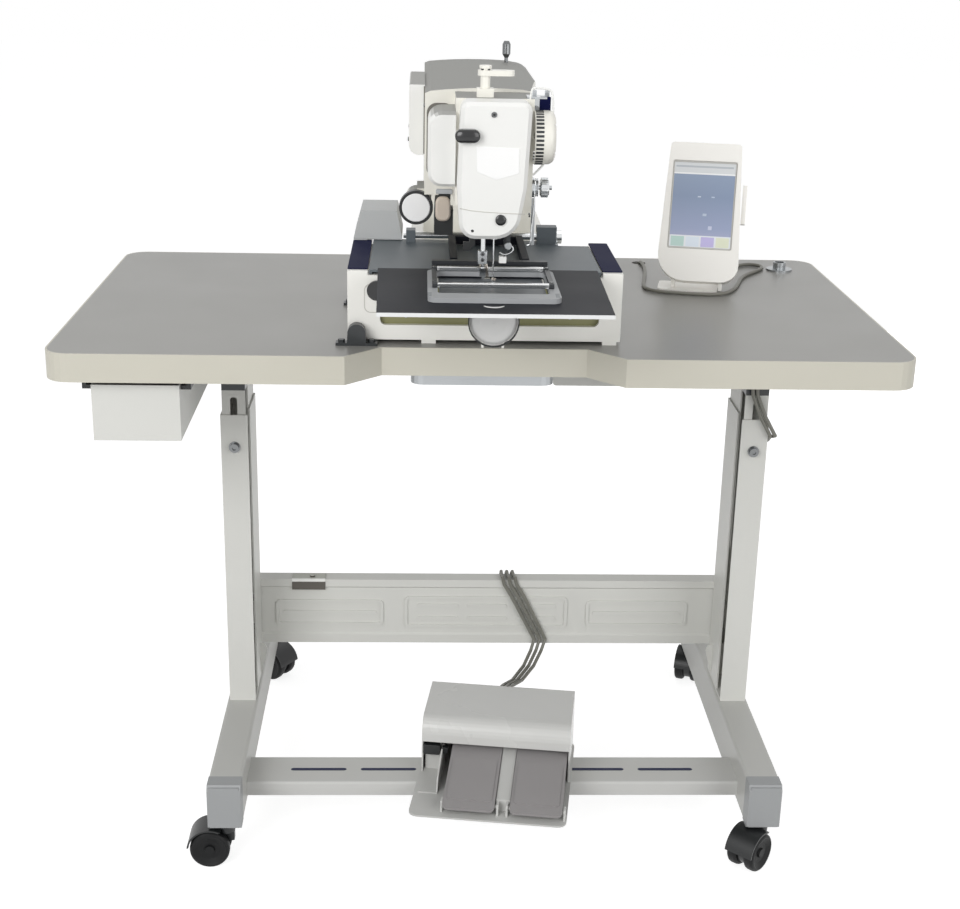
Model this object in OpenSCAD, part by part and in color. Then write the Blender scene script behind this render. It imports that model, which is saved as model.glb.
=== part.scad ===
// Programmable pattern sewing machine: head, table, stand, operation panel and foot pedal.
// Millimetres. +Z is up, +Y runs to the back, and the origin is on the floor under the
// middle of the machine. Inside the modules Y is counted from the table's front edge;
// from_edge() shifts it to the part's own frame.

/* [Table] */
// Width of the table top
table_w = 1200; // [1000:10:1400]
// Depth of the table top
table_d = 674; // [640:2:800]
// Thickness of the table top
table_t = 40; // [30:1:50]
// Height of the table's top face above the floor
table_z = 800; // [780:1:840]
// Corner radius of the table top
table_r = 35; // [20:1:60]
// Thickness of the edge band
band_t = 2.5; // [1.5:0.5:4]
// Half width of the front notch at its bottom
notch_in = 143; // [120:1:160]
// Half width of the front notch at the table's edge
notch_out = 192; // [175:1:220]
// Depth of the front notch
notch_d = 50; // [30:1:60]
// Half width of the well under the head
well_w = 95; // [80:1:100]

/* [Stand] */
// Distance of the stand's middle from the table's middle
stand_x = 30; // [0:1:40]
// Distance between the middles of the two feet
foot_pitch = 812; // [760:2:840]
// Width of a foot
foot_w = 50; // [44:1:56]
// Height of a foot
foot_h = 73; // [60:1:80]
// Height of the feet above the floor
foot_z = 67; // [67:1:80]
// Wall of the folded steel
steel_t = 2.5; // [2:0.25:3]
// Width of a column, seen from the front
column_w = 42; // [38:1:46]
// Depth of a column
column_d = 120; // [100:2:130]
// Distance of the columns behind the table's front edge
column_y = 262; // [240:2:280]
// Height of the outer columns' top above the floor
outer_top = 632; // [600:2:660]
// Height of the clamping bolts above the floor
bolt_z = 580; // [560:1:600]
// Height of the cross beam's lower edge above the floor
beam_z = 187; // [170:1:240]
// Height of the cross beam
beam_h = 117; // [100:1:140]
// Depth of the foot beam
foot_beam_d = 78; // [70:1:90]
// Height of the foot beam's top above the floor
foot_beam_z = 100; // [90:1:110]
// Length of a slot in the foot beam
slot_l = 87; // [60:1:95]
// Distance between the slots of the foot beam
slot_pitch = 109; // [100:1:112]
// Width of the slots
slot_w = 9; // [7:0.5:12]

/* [Casters] */
// Diameter of a caster wheel
wheel_d = 60; // [50:1:60]
// Width of one caster wheel
wheel_w = 17; // [12:1:20]
// Distance between the two wheels of a caster
wheel_gap = 12; // [10:1:16]
// Distance of the axle behind the caster's stem
trail = 24; // [18:1:25]
// Diameter of the caster's stem
stem_d = 11; // [8:0.5:12]
// Diameter of the caster's axle
axle_d = 8; // [6:0.5:10]

/* [Head] */
// Width of the bed
bed_w = 382; // [370:2:394]
// Distance of the bed's front behind the table's front edge
bed_y = 75; // [66:1:84]
// Depth of the wide part of the bed
bed_d = 215; // [200:1:230]
// Height of the bed's top above the table
bed_h = 96; // [96:1:96]
// Gap between the bed and the table
bed_gap = 5; // [4:0.5:6]
// Wall of the bed casting
bed_wall = 8; // [6:1:12]
// Distance of the needle to the right of the middle
needle_x = 6; // [0:1:10]
// Distance of the needle behind the table's front edge
needle_y = -4; // [-10:1:2]
// Diameter of the hook arm under the needle
hook_arm_d = 66; // [60:1:66]
// Distance of the arm's column behind the table's front edge
arm_y = 400; // [396:2:420]
// Distance of the arm's back behind the table's front edge
arm_back = 572; // [540:2:600]
// Height of the arm's underside above the table
arm_z = 205; // [200:1:230]
// Height of the arm's top above the table
arm_top = 345; // [335:1:355]
// Left side of the arm
arm_left = -86; // [-92:1:-80]
// Right side of the arm at its front end
arm_right = 56; // [50:1:60]
// Diameter of the needle bar
bar_d = 7; // [6:0.5:8]
// Diameter of the hand knob
knob_d = 44; // [36:1:48]

/* [Feed] */
// Width of the feed plate at its back
plate_w = 304; // [280:2:320]
// Distance of the feed plate's front edge before the table
plate_reach = 177; // [160:1:190]
// Thickness of the feed plate
plate_t = 2; // [1.5:0.5:3]
// Width of the window in the work frame
window_w = 144; // [140:2:150]
// Depth of the window in the work frame
window_d = 128; // [122:1:130]
// Width of a side bar of the work frame
frame_bar = 13; // [10:1:16]
// Height of the work frame
frame_t = 6.5; // [4:0.5:8]
// Diameter of the cross shaft
shaft_d = 10; // [8:0.5:12]

/* [Panel] */
// Width of the operation panel at its lower end
panel_w = 130; // [120:1:140]
// Length of the operation panel
panel_l = 224; // [210:1:240]
// Thickness of the operation panel
panel_t = 28; // [22:1:34]
// Lean of the panel
panel_lean = 20; // [10:1:30]

/* [Pedal] */
// Width of the pedal unit
pedal_w = 236; // [220:2:250]
// Length of the pedal unit
pedal_l = 250; // [230:2:270]
// Height of the pedal's hood above its base
hood_h = 100; // [90:1:110]
// Width of a treadle
treadle_w = 78; // [65:1:79]

/* [Drawer] */
// Width of the drawer
drawer_w = 120; // [100:2:140]
// Height of the drawer
drawer_h = 80; // [60:2:90]
// Length of the drawer
drawer_l = 310; // [260:2:340]

/* [Fits] */
// Gap between parts that slide or turn past each other
slide_gap = 0.4; // [0.3:0.05:0.6]
// Clearance on the diameter of a running fit
run_fit = 0.06; // [0.04:0.01:0.1]

/* [Hidden] */
$fn = 48;
edge_y = (plate_reach - table_d) / 2;     // the table's front edge in the part's frame
under_z = table_z - table_t;              // underside of the table
left_x = stand_x - foot_pitch / 2;        // middle of the left foot
right_x = stand_x + foot_pitch / 2;       // middle of the right foot
foot_top = foot_z + foot_h;
foot_front = -8;                          // front end of the feet
foot_back = table_d - 14;                 // back end of the feet
cap_l = 30;                               // visible length of a foot's end cap
stem_y = foot_front + 23;                 // casters behind the feet's front ends
bed_top = table_z + bed_h;
bed_bottom = table_z + bed_gap;
bed_back = bed_y + bed_d;
hook_z = bed_top - 30;                    // axis of the hook
plate_z = bed_top + 7.5;                  // underside of the feed plate
plate_top = plate_z + plate_t;
frame_top = plate_top + frame_t;
window_x = needle_x - 2;                  // middle of the window
window_y0 = needle_y - 91;               // front of the window
front_bar = 27;                           // depth of the work frame's front bar
shaft_y = 285;                            // cross shaft behind the table's front edge
shaft_z = bed_top + 16;
arm_under = table_z + arm_z;
arm_crown = table_z + arm_top;
face_y = -33;                             // front of the face cover
face_back = 15;                           // back of the face cover
pedal_turn = -8.3;                        // the pedal stands a little askew
pedal_at = [32, 83, foot_beam_z];
panel_at = [355, 412, table_z];
panel_turn = -12;

// ---- helpers -------------------------------------------------------------------
function arc(x, y, r, a, b, n = 6) =
    [for (i = [0:n]) let (t = a + (b - a) * i / n) [x + r * cos(t), y + r * sin(t)]];

function round_box(x0, y0, x1, y1, r, n = 5) = concat(
    arc(x1 - r, y0 + r, r, -90, 0, n), arc(x1 - r, y1 - r, r, 0, 90, n),
    arc(x0 + r, y1 - r, r, 90, 180, n), arc(x0 + r, y0 + r, r, 180, 270, n));

module from_edge() translate([0, edge_y, 0]) children();

// Extrusions along the three axes: the flat shape is drawn in (X,Z), (Y,Z) or (X,Y).
module along_y(y0, y1) translate([0, y1, 0]) rotate([90, 0, 0]) linear_extrude(y1 - y0) children();
module along_x(x0, x1) translate([x0, 0, 0]) rotate([90, 0, 90]) linear_extrude(x1 - x0) children();
module along_z(z0, z1) translate([0, 0, z0]) linear_extrude(z1 - z0) children();

module box(x0, x1, y0, y1, z0, z1) translate([x0, y0, z0]) cube([x1 - x0, y1 - y0, z1 - z0]);
module rod_x(x0, x1, y, z, d) translate([x0, y, z]) rotate([0, 90, 0]) cylinder(h = x1 - x0, d = d);
module rod_y(x, y0, y1, z, d) translate([x, y1, z]) rotate([90, 0, 0]) cylinder(h = y1 - y0, d = d);
module rod_z(x, y, z0, z1, d) translate([x, y, z0]) cylinder(h = z1 - z0, d = d);
module slot_z(x, y, l, w, z0, z1) along_z(z0, z1) {
    translate([x, y]) square([l - w, w], center = true);
    for (s = [-1, 1]) translate([x + s * (l - w) / 2, y]) circle(d = w);
}

// ---- casters -------------------------------------------------------------------
// [x, y, turn] of each caster: front left, front right, rear left, rear right
CASTERS = [
    [left_x, stem_y, -90], [right_x, stem_y, -43],
    [left_x, foot_back - 23, 55], [right_x, foot_back - 23, -20],
];

module at_caster(i) from_edge()
    translate([CASTERS[i][0], CASTERS[i][1], 0]) rotate(CASTERS[i][2]) children();

module caster(i) color("#1c1f20") at_caster(i) {
    web = wheel_gap / 2 - slide_gap;
    width = wheel_gap / 2 + wheel_w;
    fork_z = wheel_d / 2;
    difference() {
        union() {
            along_x(-web, web) {
                translate([-trail, fork_z]) circle(d = wheel_d - 12);
                polygon([[-trail, fork_z], [12, fork_z + 8], [12, foot_z - 3], [-trail, foot_z - 3]]);
            }
            along_x(-width, width) difference() {
                translate([-trail, fork_z]) circle(r = fork_z + 4.4);
                translate([-trail, fork_z]) circle(r = fork_z + 1.8);
                translate([-trail - 60, fork_z - 60]) square([120, 64]);
                translate([-trail + 14, 0]) square([60, 60]);
            }
            rod_z(0, 0, foot_z - 14, foot_z - 0.3, 26);
            rod_z(0, 0, foot_z - 10, foot_z + 38, stem_d);
        }
        rod_x(-width, width, -trail, fork_z, axle_d + run_fit);
        for (s = [-1, 1])
            rod_x(s * (web + wheel_w / 2 + 1) - wheel_w / 2 - 1, s * (web + wheel_w / 2 + 1) + wheel_w / 2 + 1,
                -trail, fork_z, wheel_d + 3);
    }
}

module wheels(i) color("#26292a") at_caster(i)
    translate([0, -trail, wheel_d / 2]) rotate([0, 90, 0]) {
        rim = wheel_d / 2;
        inner = wheel_gap / 2;
        outer = inner + wheel_w;
        for (s = [0, 1]) mirror([0, 0, s]) rotate_extrude($fn = 64) polygon(concat(
            [[0, inner - slide_gap], [axle_d / 2, inner - slide_gap], [axle_d / 2, inner], [rim - 4, inner]],
            arc(rim - 5, inner + 5, 5, -90, 0, 3), arc(rim - 5, outer - 5, 5, 0, 90, 3),
            [[rim - 8, outer - 1.5], [rim - 14, outer - 4], [8, outer - 4], [7, outer - 1], [0, outer - 1]]));
        cylinder(h = wheel_gap - 2 * slide_gap, d = axle_d, center = true);
    }

module caster_fl() caster(0);
module caster_fr() caster(1);
module caster_rl() caster(2);
module caster_rr() caster(3);
module wheels_fl() wheels(0);
module wheels_fr() wheels(1);
module wheels_rl() wheels(2);
module wheels_rr() wheels(3);

// ---- stand ---------------------------------------------------------------------
module feet() color("#c5c5c1") from_edge() for (x = [left_x, right_x])
    along_y(foot_front + cap_l, foot_back - cap_l) difference() {
        polygon(round_box(x - foot_w / 2, foot_z, x + foot_w / 2, foot_top, 4, 3));
        polygon(round_box(x - foot_w / 2 + steel_t, foot_z + steel_t,
            x + foot_w / 2 - steel_t, foot_top - steel_t, 0.8, 2));
    }

// One cap and plug for a foot's end; the caster's stem turns in its bore.
module end_cap(x, y, s) difference() {
    union() {
        hull() {
            box(x - foot_w / 2, x + foot_w / 2, min(y, y + s * cap_l), max(y, y + s * cap_l), foot_z + 4, foot_top - 8);
            box(x - foot_w / 2, x + foot_w / 2, min(y + s * 5, y + s * cap_l), max(y + s * 5, y + s * cap_l),
                foot_z, foot_top);
        }
        box(x - foot_w / 2 + steel_t + 0.3, x + foot_w / 2 - steel_t - 0.3,
            min(y, y + s * (cap_l + 25)), max(y, y + s * (cap_l + 25)), foot_z + steel_t + 0.3, foot_top - steel_t - 0.3);
    }
    rod_z(x, y + s * 23, foot_z - 1, foot_z + 40, stem_d + run_fit);
}

module foot_end_caps() color("#8f9192") from_edge() for (x = [left_x, right_x]) {
    end_cap(x, foot_front, 1);
    end_cap(x, foot_back, -1);
}

// A column is a folded tube with an open groove towards the machine's middle, behind its front
// face: s = 1 has it on the right.
groove_d = 36;
module folded_tube(x, w, d, y, t, s) translate([x, y]) difference() {
    translate([-w / 2, 0]) square([w, d]);
    translate([t - w / 2, t]) square([w - 2 * t, d - 2 * t]);
    translate([s > 0 ? w / 2 - t - 1 : -w / 2 - 1, t]) square([t + 2, groove_d - t]);
}

module column(x, s) difference() {
    union() {
        along_z(foot_top, outer_top) folded_tube(x, column_w, column_d, column_y, steel_t, s);
        along_z(foot_top, foot_top + 4) translate([x - column_w / 2, column_y]) square([column_w, column_d]);
        along_y(column_y + column_d - 30, column_y + column_d - 27) polygon([
            [x - s * (column_w / 2 - steel_t), foot_top + 3], [x + s * column_w / 2, foot_top + 3],
            [x + s * (column_w / 2 + 12), foot_top + 48], [x + s * (column_w / 2 + 8), foot_top + 58],
            [x - s * (column_w / 2 - steel_t), foot_top + 66]]);
    }
    rod_y(x, column_y - 1, column_y + steel_t + 1, bolt_z, 8.4);
    for (z = [beam_z + 32, beam_z + 85])
        rod_y(x + s * 6, column_y + column_d - steel_t - 1, column_y + column_d + 1, z, 6.4);
}
module columns() color("#c5c5c1") from_edge() {
    column(left_x, 1);
    column(right_x, -1);
}

inner_gap = steel_t + slide_gap;          // the inner column slides inside the outer one
inner_w = column_w - 2 * inner_gap;
inner_low = 400;                          // lower end of the inner columns
inner_top = 671;                          // upper end of the inner columns
module inner_column(x, s) difference() {
    along_z(inner_low, inner_top)
        folded_tube(x, inner_w, column_d - 2 * inner_gap, column_y + inner_gap, steel_t, s);
    along_y(column_y, column_y + inner_gap + steel_t + 1) {
        translate([x - 5.5, bolt_z - 70]) square([11, 150 - 11 / 2]);
        for (z = [bolt_z - 70, bolt_z + 80 - 5.5]) translate([x, z]) circle(d = 11);
    }
}
module inner_columns() color("#c9c9c5") from_edge() {
    inner_column(left_x, 1);
    inner_column(right_x, -1);
}

// A black box on each inner column carries a plate that is screwed under the table.
module table_brackets() color("#2c2e2e") from_edge() for (x = [left_x, right_x]) {
    y0 = column_y + inner_gap;
    y1 = column_y + column_d - inner_gap;
    along_z(inner_top, under_z - 4) difference() {
        translate([x - inner_w / 2, y0]) square([inner_w, y1 - y0]);
        translate([x - inner_w / 2 + 3, y0 + 3]) square([inner_w - 6, y1 - y0 - 6]);
    }
    box(x - 28, x + 28, y0 - 25, y1 + 25, under_z - 4, under_z);
    box(x - inner_w / 2, x + inner_w / 2, y0, y1, inner_top, inner_top + 3);
}

beam_y = column_y + column_d;             // front of the cross beam
beam_x0 = left_x - column_w / 2;
beam_x1 = right_x + column_w / 2;
module cross_beam() color("#c9c9c4") from_edge() difference() {
    union() {
        along_x(beam_x0, beam_x1) polygon([
            [beam_y, beam_z], [beam_y + 28, beam_z], [beam_y + 28, beam_z + 2], [beam_y + 2, beam_z + 2],
            [beam_y + 2, beam_z + 16], [beam_y + 5, beam_z + 19], [beam_y + 5, beam_z + beam_h - 17],
            [beam_y + 2, beam_z + beam_h - 14], [beam_y + 2, beam_z + beam_h - 2],
            [beam_y + 28, beam_z + beam_h - 2], [beam_y + 28, beam_z + beam_h], [beam_y, beam_z + beam_h],
            [beam_y, beam_z + beam_h - 13], [beam_y + 3, beam_z + beam_h - 16],
            [beam_y + 3, beam_z + 18], [beam_y, beam_z + 15]]);
        for (p = BEAM_PANELS) along_y(beam_y + 0.6, beam_y + 4) difference() {
            polygon(round_box(p[0], beam_z + p[1], p[2], beam_z + p[3], 8, 4));
            polygon(round_box(p[0] + 5, beam_z + p[1] + 5, p[2] - 5, beam_z + p[3] - 5, 4, 3));
        }
        for (r = BEAM_RIBS) along_y(beam_y + 1, beam_y + 4)
            polygon(round_box(r[0], beam_z + r[1], r[2], beam_z + r[1] + 7, 3.4, 3));
    }
    for (x = [left_x + 6, right_x - 6], z = [beam_z + 32, beam_z + 85]) rod_y(x, beam_y - 1, beam_y + 8, z, 6.4);
}
// Pressed rims of the cross beam: left, bottom, right, top, from the beam's lower edge
BEAM_PANELS = [[-330, 32, -148, 79], [-112, 28, 166, 86], [198, 32, 372, 79]];
// Pressed ribs inside them: left, bottom, right
BEAM_RIBS = [
    [-318, 52, -160], [210, 52, 360],
    [-90, 42, -20], [-90, 65, -20], [-4, 42, 62], [-4, 65, 62], [78, 42, 146], [78, 65, 146],
];

foot_beam_x0 = left_x + foot_w / 2;
foot_beam_x1 = right_x - foot_w / 2;
beam_mid_y = 72 + foot_beam_d / 2;        // middle of the foot beam
module foot_beam() color("#bdbdb9") from_edge() difference() {
    along_x(foot_beam_x0, foot_beam_x1) translate([beam_mid_y, foot_beam_z]) difference() {
        polygon(concat(arc(4 - foot_beam_d / 2, -4, 4, 180, 90, 3), arc(foot_beam_d / 2 - 4, -4, 4, 90, 0, 3),
            [[foot_beam_d / 2, -23], [-foot_beam_d / 2, -23]]));
        translate([steel_t - foot_beam_d / 2, -30]) square([foot_beam_d - 2 * steel_t, 30 - steel_t]);
    }
    for (i = [-2.5:2.5]) slot_z(stand_x + i * slot_pitch, beam_mid_y, slot_l, slot_w, foot_beam_z - 5, foot_beam_z + 1);
}

// A hexagon socket screw, head at y and shank towards +Y
module socket_screw(x, y, z, d, l, hd, hh) difference() {
    union() {
        rod_y(x, y - hh, y, z, hd);
        rod_y(x, y, y + l, z, d);
    }
    translate([x, y - hh + 2.5, z]) rotate([90, 0, 0]) cylinder(h = 4, d = hd * 0.5, $fn = 6);
}

module stand_bolts() color("#6f7274") from_edge() {
    for (x = [left_x, right_x]) {
        socket_screw(x, column_y - 1.6, bolt_z, 8, 24, 14, 6);
        difference() {
            rod_y(x, column_y - 1.6, column_y, bolt_z, 18);
            rod_y(x, column_y - 2, column_y + 1, bolt_z, 8);
        }
        difference() {
            translate([x, column_y + 2 * steel_t + slide_gap + 7.3, bolt_z]) rotate([90, 0, 0])
                cylinder(h = 7, d = 15, $fn = 6);
            rod_y(x, column_y, column_y + 20, bolt_z, 8);
        }
    }
    for (x = [left_x + 6, right_x - 6], z = [beam_z + 32, beam_z + 85])
        socket_screw(x, beam_y - steel_t, z, 6, 14, 11, 4);
}

beam_top = beam_z + beam_h;
clip_x = -302;
module beam_clip() color("#77704f") from_edge() {
    along_x(clip_x, clip_x + 56) polygon([
        [beam_y - 1.5, beam_top - 18], [beam_y - 0.3, beam_top - 18],
        [beam_y - 0.3, beam_top + 0.3], [beam_y + 22, beam_top + 0.3],
        [beam_y + 22, beam_top + 1.5], [beam_y - 1.5, beam_top + 1.5]]);
    rod_z(clip_x + 34, beam_y + 10, beam_top + 1, beam_top + 4, 9);
}

// ---- table ---------------------------------------------------------------------
// Outline of the table top, moved in by e
function table_outline(e) =
    let (a = atan2(notch_d, notch_out - notch_in), h = table_w / 2 - e, r = table_r - e,
        xo = notch_out - e / tan(a) + e / sin(a), xi = xo - notch_d / tan(a))
    concat([[-xo, e]], [[-xi, notch_d + e], [xi, notch_d + e], [xo, e]],
        arc(h - r, e + r, r, -90, 0, 6), arc(h - r, table_d - e - r, r, 0, 90, 6),
        arc(r - h, table_d - e - r, r, 90, 180, 6), arc(r - h, e + r, r, 180, 270, 6));

well_y0 = bed_y + 40;
well_y1 = arm_back - 22;
module table_top() color("#8d9092") from_edge() difference() {
    along_z(under_z, table_z) difference() {
        polygon(table_outline(band_t));
        polygon(round_box(-well_w, well_y0, well_w, well_y1, 15, 4));
    }
    rod_z(socket_x, socket_y, under_z - 1, table_z + 1, 22);
    rod_z(cord_hole[0], cord_hole[1], under_z - 1, table_z + 1, 24);
}

module edge_band() color("#d6d3c6") from_edge() along_z(under_z, table_z) difference() {
    polygon(table_outline(0));
    polygon(table_outline(band_t));
}

pan_z = under_z - 30;                     // bottom of the oil pan
module oil_pan() color("#9a9c9a") from_edge() difference() {
    union() {
        along_z(pan_z, under_z) polygon(round_box(-well_w - 8, well_y0 - 8, well_w + 8, well_y1 + 8, 18, 4));
        along_z(under_z - 1.5, under_z) polygon(round_box(-well_w - 25, well_y0 - 25, well_w + 25, well_y1 + 25, 18, 4));
    }
    along_z(pan_z + 1.5, under_z + 1) polygon(round_box(-well_w - 6.5, well_y0 - 6.5, well_w + 6.5, well_y1 + 6.5, 16.5, 4));
}

drawer_x = -479;
drawer_y = 20;
drawer_z = under_z - 9 - drawer_h;
module drawer() color("#cfcfcc") from_edge() difference() {
    union() {
        box(drawer_x - drawer_w / 2, drawer_x + drawer_w / 2, drawer_y, drawer_y + drawer_l, drawer_z, drawer_z + drawer_h);
        for (s = [-1, 1])
            box(drawer_x + s * (drawer_w / 2 + 3) - 3, drawer_x + s * (drawer_w / 2 + 3) + 3,
                drawer_y + 20, drawer_y + drawer_l, drawer_z + drawer_h - 3, drawer_z + drawer_h);
    }
    box(drawer_x - drawer_w / 2 + 2, drawer_x + drawer_w / 2 - 2, drawer_y + 2, drawer_y + drawer_l - 2,
        drawer_z + 2, drawer_z + drawer_h + 1);
}

module drawer_runners() color("#3b3d3d") from_edge() for (s = [-1, 1]) {
    x = drawer_x + s * (drawer_w / 2 + slide_gap);
    along_y(drawer_y + 12, drawer_y + drawer_l + 10) polygon([
        [x, under_z], [x + s * 14, under_z], [x + s * 14, drawer_z + drawer_h - 9],
        [x, drawer_z + drawer_h - 9], [x, drawer_z + drawer_h - 3.4],
        [x + s * 8, drawer_z + drawer_h - 3.4], [x + s * 8, drawer_z + drawer_h + 1], [x, drawer_z + drawer_h + 1]]);
}

module control_box() color("#b9bbba") from_edge() {
    difference() {
        along_y(420, 640) polygon(round_box(130, under_z - 122, 400, under_z - 4, 5, 3));
        for (i = [0:9]) box(160 + i * 20, 170 + i * 20, 419, 423, under_z - 100, under_z - 60);
    }
    for (x = [155, 355]) box(x, x + 20, 410, 650, under_z - 4, under_z);
}

socket_x = table_w / 2 - 70;                           // socket of the thread stand
socket_y = table_d - 84;
module thread_stand_socket() color("#b7b9b8") from_edge() difference() {
    union() {
        rod_z(socket_x, socket_y, table_z, table_z + 3, 44);
        rod_z(socket_x, socket_y, under_z - 10, table_z + 14, 21.6);
    }
    rod_z(socket_x, socket_y, under_z - 11, table_z + 15, 16);
}

hinge_x = 13 - bed_w / 2;                  // axis about which the head tilts to the left
hinge_z = table_z + 18;
hinge_pin = 12;                           // diameter of the hinge pins
hinge_face = 3;                           // closed front wall of a hinge block
front_hinge_y = bed_y - 18;
rear_hinge_y = bed_back + 3;
module hinge_blocks() color("#1f2122") from_edge() for (y = [front_hinge_y, rear_hinge_y]) {
    difference() {
        along_y(y, y + 15) {
            translate([hinge_x, hinge_z]) circle(d = 25);
            polygon([[hinge_x - 12.5, hinge_z], [hinge_x - 13.5, table_z], [hinge_x + 13.5, table_z], [hinge_x + 12.5, hinge_z]]);
        }
        rod_y(hinge_x, y == front_hinge_y ? y + hinge_face : y - 1, y == front_hinge_y ? y + 16 : y + 15 - hinge_face,
            hinge_z, hinge_pin + run_fit);
    }
    for (s = [-1, 1]) difference() {
        union() {
            box(hinge_x + s * 20 - 9, hinge_x + s * 20 + 9, y, y + 15, table_z, table_z + 4);
            translate([hinge_x + s * 21, y + 7.5, table_z + 4]) cylinder(h = 4, d = 10, $fn = 6);
        }
    }
}

// ---- head: bed -----------------------------------------------------------------
rear_w = 105;                             // half width of the bed's rear part
sill_z = table_z + 26;                    // top of the low front wall
window_l = -146;                          // left side of the opening in the front wall
window_r = 160;                           // right side of that opening
module bed_plan(e) polygon([
    [-bed_w / 2 + e, bed_y + e], [bed_w / 2 - e, bed_y + e], [bed_w / 2 - e, bed_back - e],
    [rear_w - e, bed_back - e], [rear_w - e, arm_back + 18 - e], [-rear_w + e, arm_back + 18 - e],
    [-rear_w + e, bed_back - e], [-bed_w / 2 + e, bed_back - e]]);

module bed_casting() color("#efeeea") from_edge() difference() {
    union() {
        along_z(bed_bottom, bed_top) bed_plan(0);
        // rails beside the moving cover plate
        for (s = [-1, 1]) box(s * rail_x - rail_w / 2, s * rail_x + rail_w / 2, bed_y, bed_back - 5, bed_top - 1, bed_top + 6);
        // ledge that carries the rear left cover
        box(-bed_w / 2, -bed_w / 2 + 26, bed_back - 1, bed_back + 112, bed_top - 46, bed_top);
        // hook arm
        rod_y(needle_x, -42, bed_y + 20, hook_z, hook_arm_d);
        rod_z(needle_x, needle_y - 2, hook_z + 20, plate_z - 0.5, 20);
        for (s = [-1, 1])
            box(needle_x + s * 13.5 - 1.5, needle_x + s * 13.5 + 1.5, -42, -32, cover_hinge_z - 5, hook_z - 24);
        // feet that stand on the table
        for (x = [-78, bed_w / 2 - 15]) box(x - 10, x + 10, bed_y, bed_y + 16, table_z, bed_bottom + 4);
        for (x = [-80, 80]) box(x - 10, x + 10, arm_back - 14, arm_back + 14, table_z, bed_bottom + 4);
        // hinge pins
        rod_y(hinge_x, front_hinge_y + hinge_face + 0.5, bed_y + 1, hinge_z, hinge_pin);
        rod_y(hinge_x, bed_back - 1, rear_hinge_y + 14.5 - hinge_face, hinge_z, hinge_pin);
    }
    // hollow of the casting, open below
    along_z(bed_bottom - 1, bed_top - 9) bed_plan(bed_wall);
    // opening in the front wall
    along_y(bed_y - 1, bed_y + bed_wall + 1) difference() {
        polygon(round_box(window_l, sill_z, window_r, bed_top - 10, 8, 4));
        translate([needle_x, hook_z]) circle(d = hook_arm_d - 1);
    }
    // bore of the hook arm and the needle's way
    rod_y(needle_x, -43, bed_y - 15, hook_z, hook_arm_d - 16);
    rod_y(needle_x, bed_y - 20, bed_y + 21, hook_z, hook_shaft_d + run_fit);
    rod_z(needle_x, needle_y, hook_z, bed_top + 20, 8);
    // seat of the hook cover's hinge
    box(needle_x - 12, needle_x + 12, -44, -33, hook_z - 45, hook_z - 27);
    rod_x(needle_x - 16, needle_x + 16, cover_hinge_y, cover_hinge_z, 4 + run_fit);
    // chamfer so that the bed clears the table as it tilts
    along_y(bed_y - 1, bed_back + 120) polygon([
        [-bed_w / 2 - 1, bed_bottom - 1], [-bed_w / 2 + 8, bed_bottom - 1], [-bed_w / 2 - 1, bed_bottom + 8]]);
}
hook_shaft_d = 9;
rail_w = 28;
rail_x = (bed_w - rail_w) / 2;

module front_sill() color("#7d7d55") from_edge() difference() {
    along_y(bed_y + bed_wall, bed_y + bed_wall + 3)
        polygon(round_box(window_l - 6, sill_z - 6, window_r + 6, bed_top - 10, 4, 3));
    rod_y(needle_x, bed_y, bed_y + 30, hook_z, hook_arm_d + 0.6);
    for (x = [-110, 120]) rod_y(x, bed_y, bed_y + 30, sill_z + 12, 5);
}

module bed_side_panels() color("#24273d") from_edge() for (s = [-1, 1])
    along_z(bed_top + 6, bed_top + 7.5) polygon(round_box(s * rail_x - rail_w / 2, bed_y + 10,
        s * rail_x + rail_w / 2, bed_back - 7, 2, 2));

module needle_plate() color("#b9bcbe") from_edge() {
    difference() {
        rod_z(needle_x, needle_y - 2, plate_z - 0.5, plate_z + 1.5, 20);
        rod_z(needle_x, needle_y, plate_z - 1, plate_z + 3, 2.8);
    }
    // cover around the post, on the hook arm
    along_z(hook_z + hook_arm_d / 2 + 0.3, plate_z - 0.6) difference() {
        polygon(round_box(window_x - 70, window_y0 - 3, window_x + 70, bed_y - 23, 10, 4));
        translate([needle_x, needle_y - 2]) circle(d = 20.4);
    }
}

cover_hinge_y = -38;
cover_hinge_z = hook_z - hook_arm_d / 2 - 2;
module hook_cover() color("#a9aaa8") from_edge() {
    translate([needle_x, -42.4, hook_z]) rotate([90, 0, 0]) rotate_extrude($fn = 64) polygon(concat(
        [[0, 4], [22, 4], [25, 0], [hook_arm_d / 2, 0]],
        arc(hook_arm_d / 2 - 9, 9, 9, 0, 70, 5), [[18, 19.6], [0, 20.4]]));
    along_x(needle_x - 8, needle_x + 8) {
        translate([cover_hinge_y, cover_hinge_z]) circle(d = 8);
        polygon([[cover_hinge_y - 4, cover_hinge_z], [cover_hinge_y, cover_hinge_z],
            [-42.4, cover_hinge_z + 8], [-48, cover_hinge_z + 10]]);
    }
    rod_x(needle_x - 14.8, needle_x + 14.8, cover_hinge_y, cover_hinge_z, 4);
}

module hook_assembly() color("#9fa3a5") from_edge() {
    difference() {
        rod_y(needle_x, -38, needle_y - 3, hook_z, 36);
        rod_y(needle_x, -39, -14, hook_z, 30);
        box(needle_x - 6, needle_x + 30, -39, -24, hook_z + 4, hook_z + 30);
    }
    rod_y(needle_x, -10, bed_y + 150, hook_z, hook_shaft_d);
}

module bobbin_case() color("#b4b7b8") from_edge() difference() {
    rod_y(needle_x, -37, -15, hook_z, 28.8);
    rod_y(needle_x, -38, -35, hook_z, 20);
    box(needle_x - 2, needle_x + 2, -38, -33, hook_z - 12, hook_z + 12);
}

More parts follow.
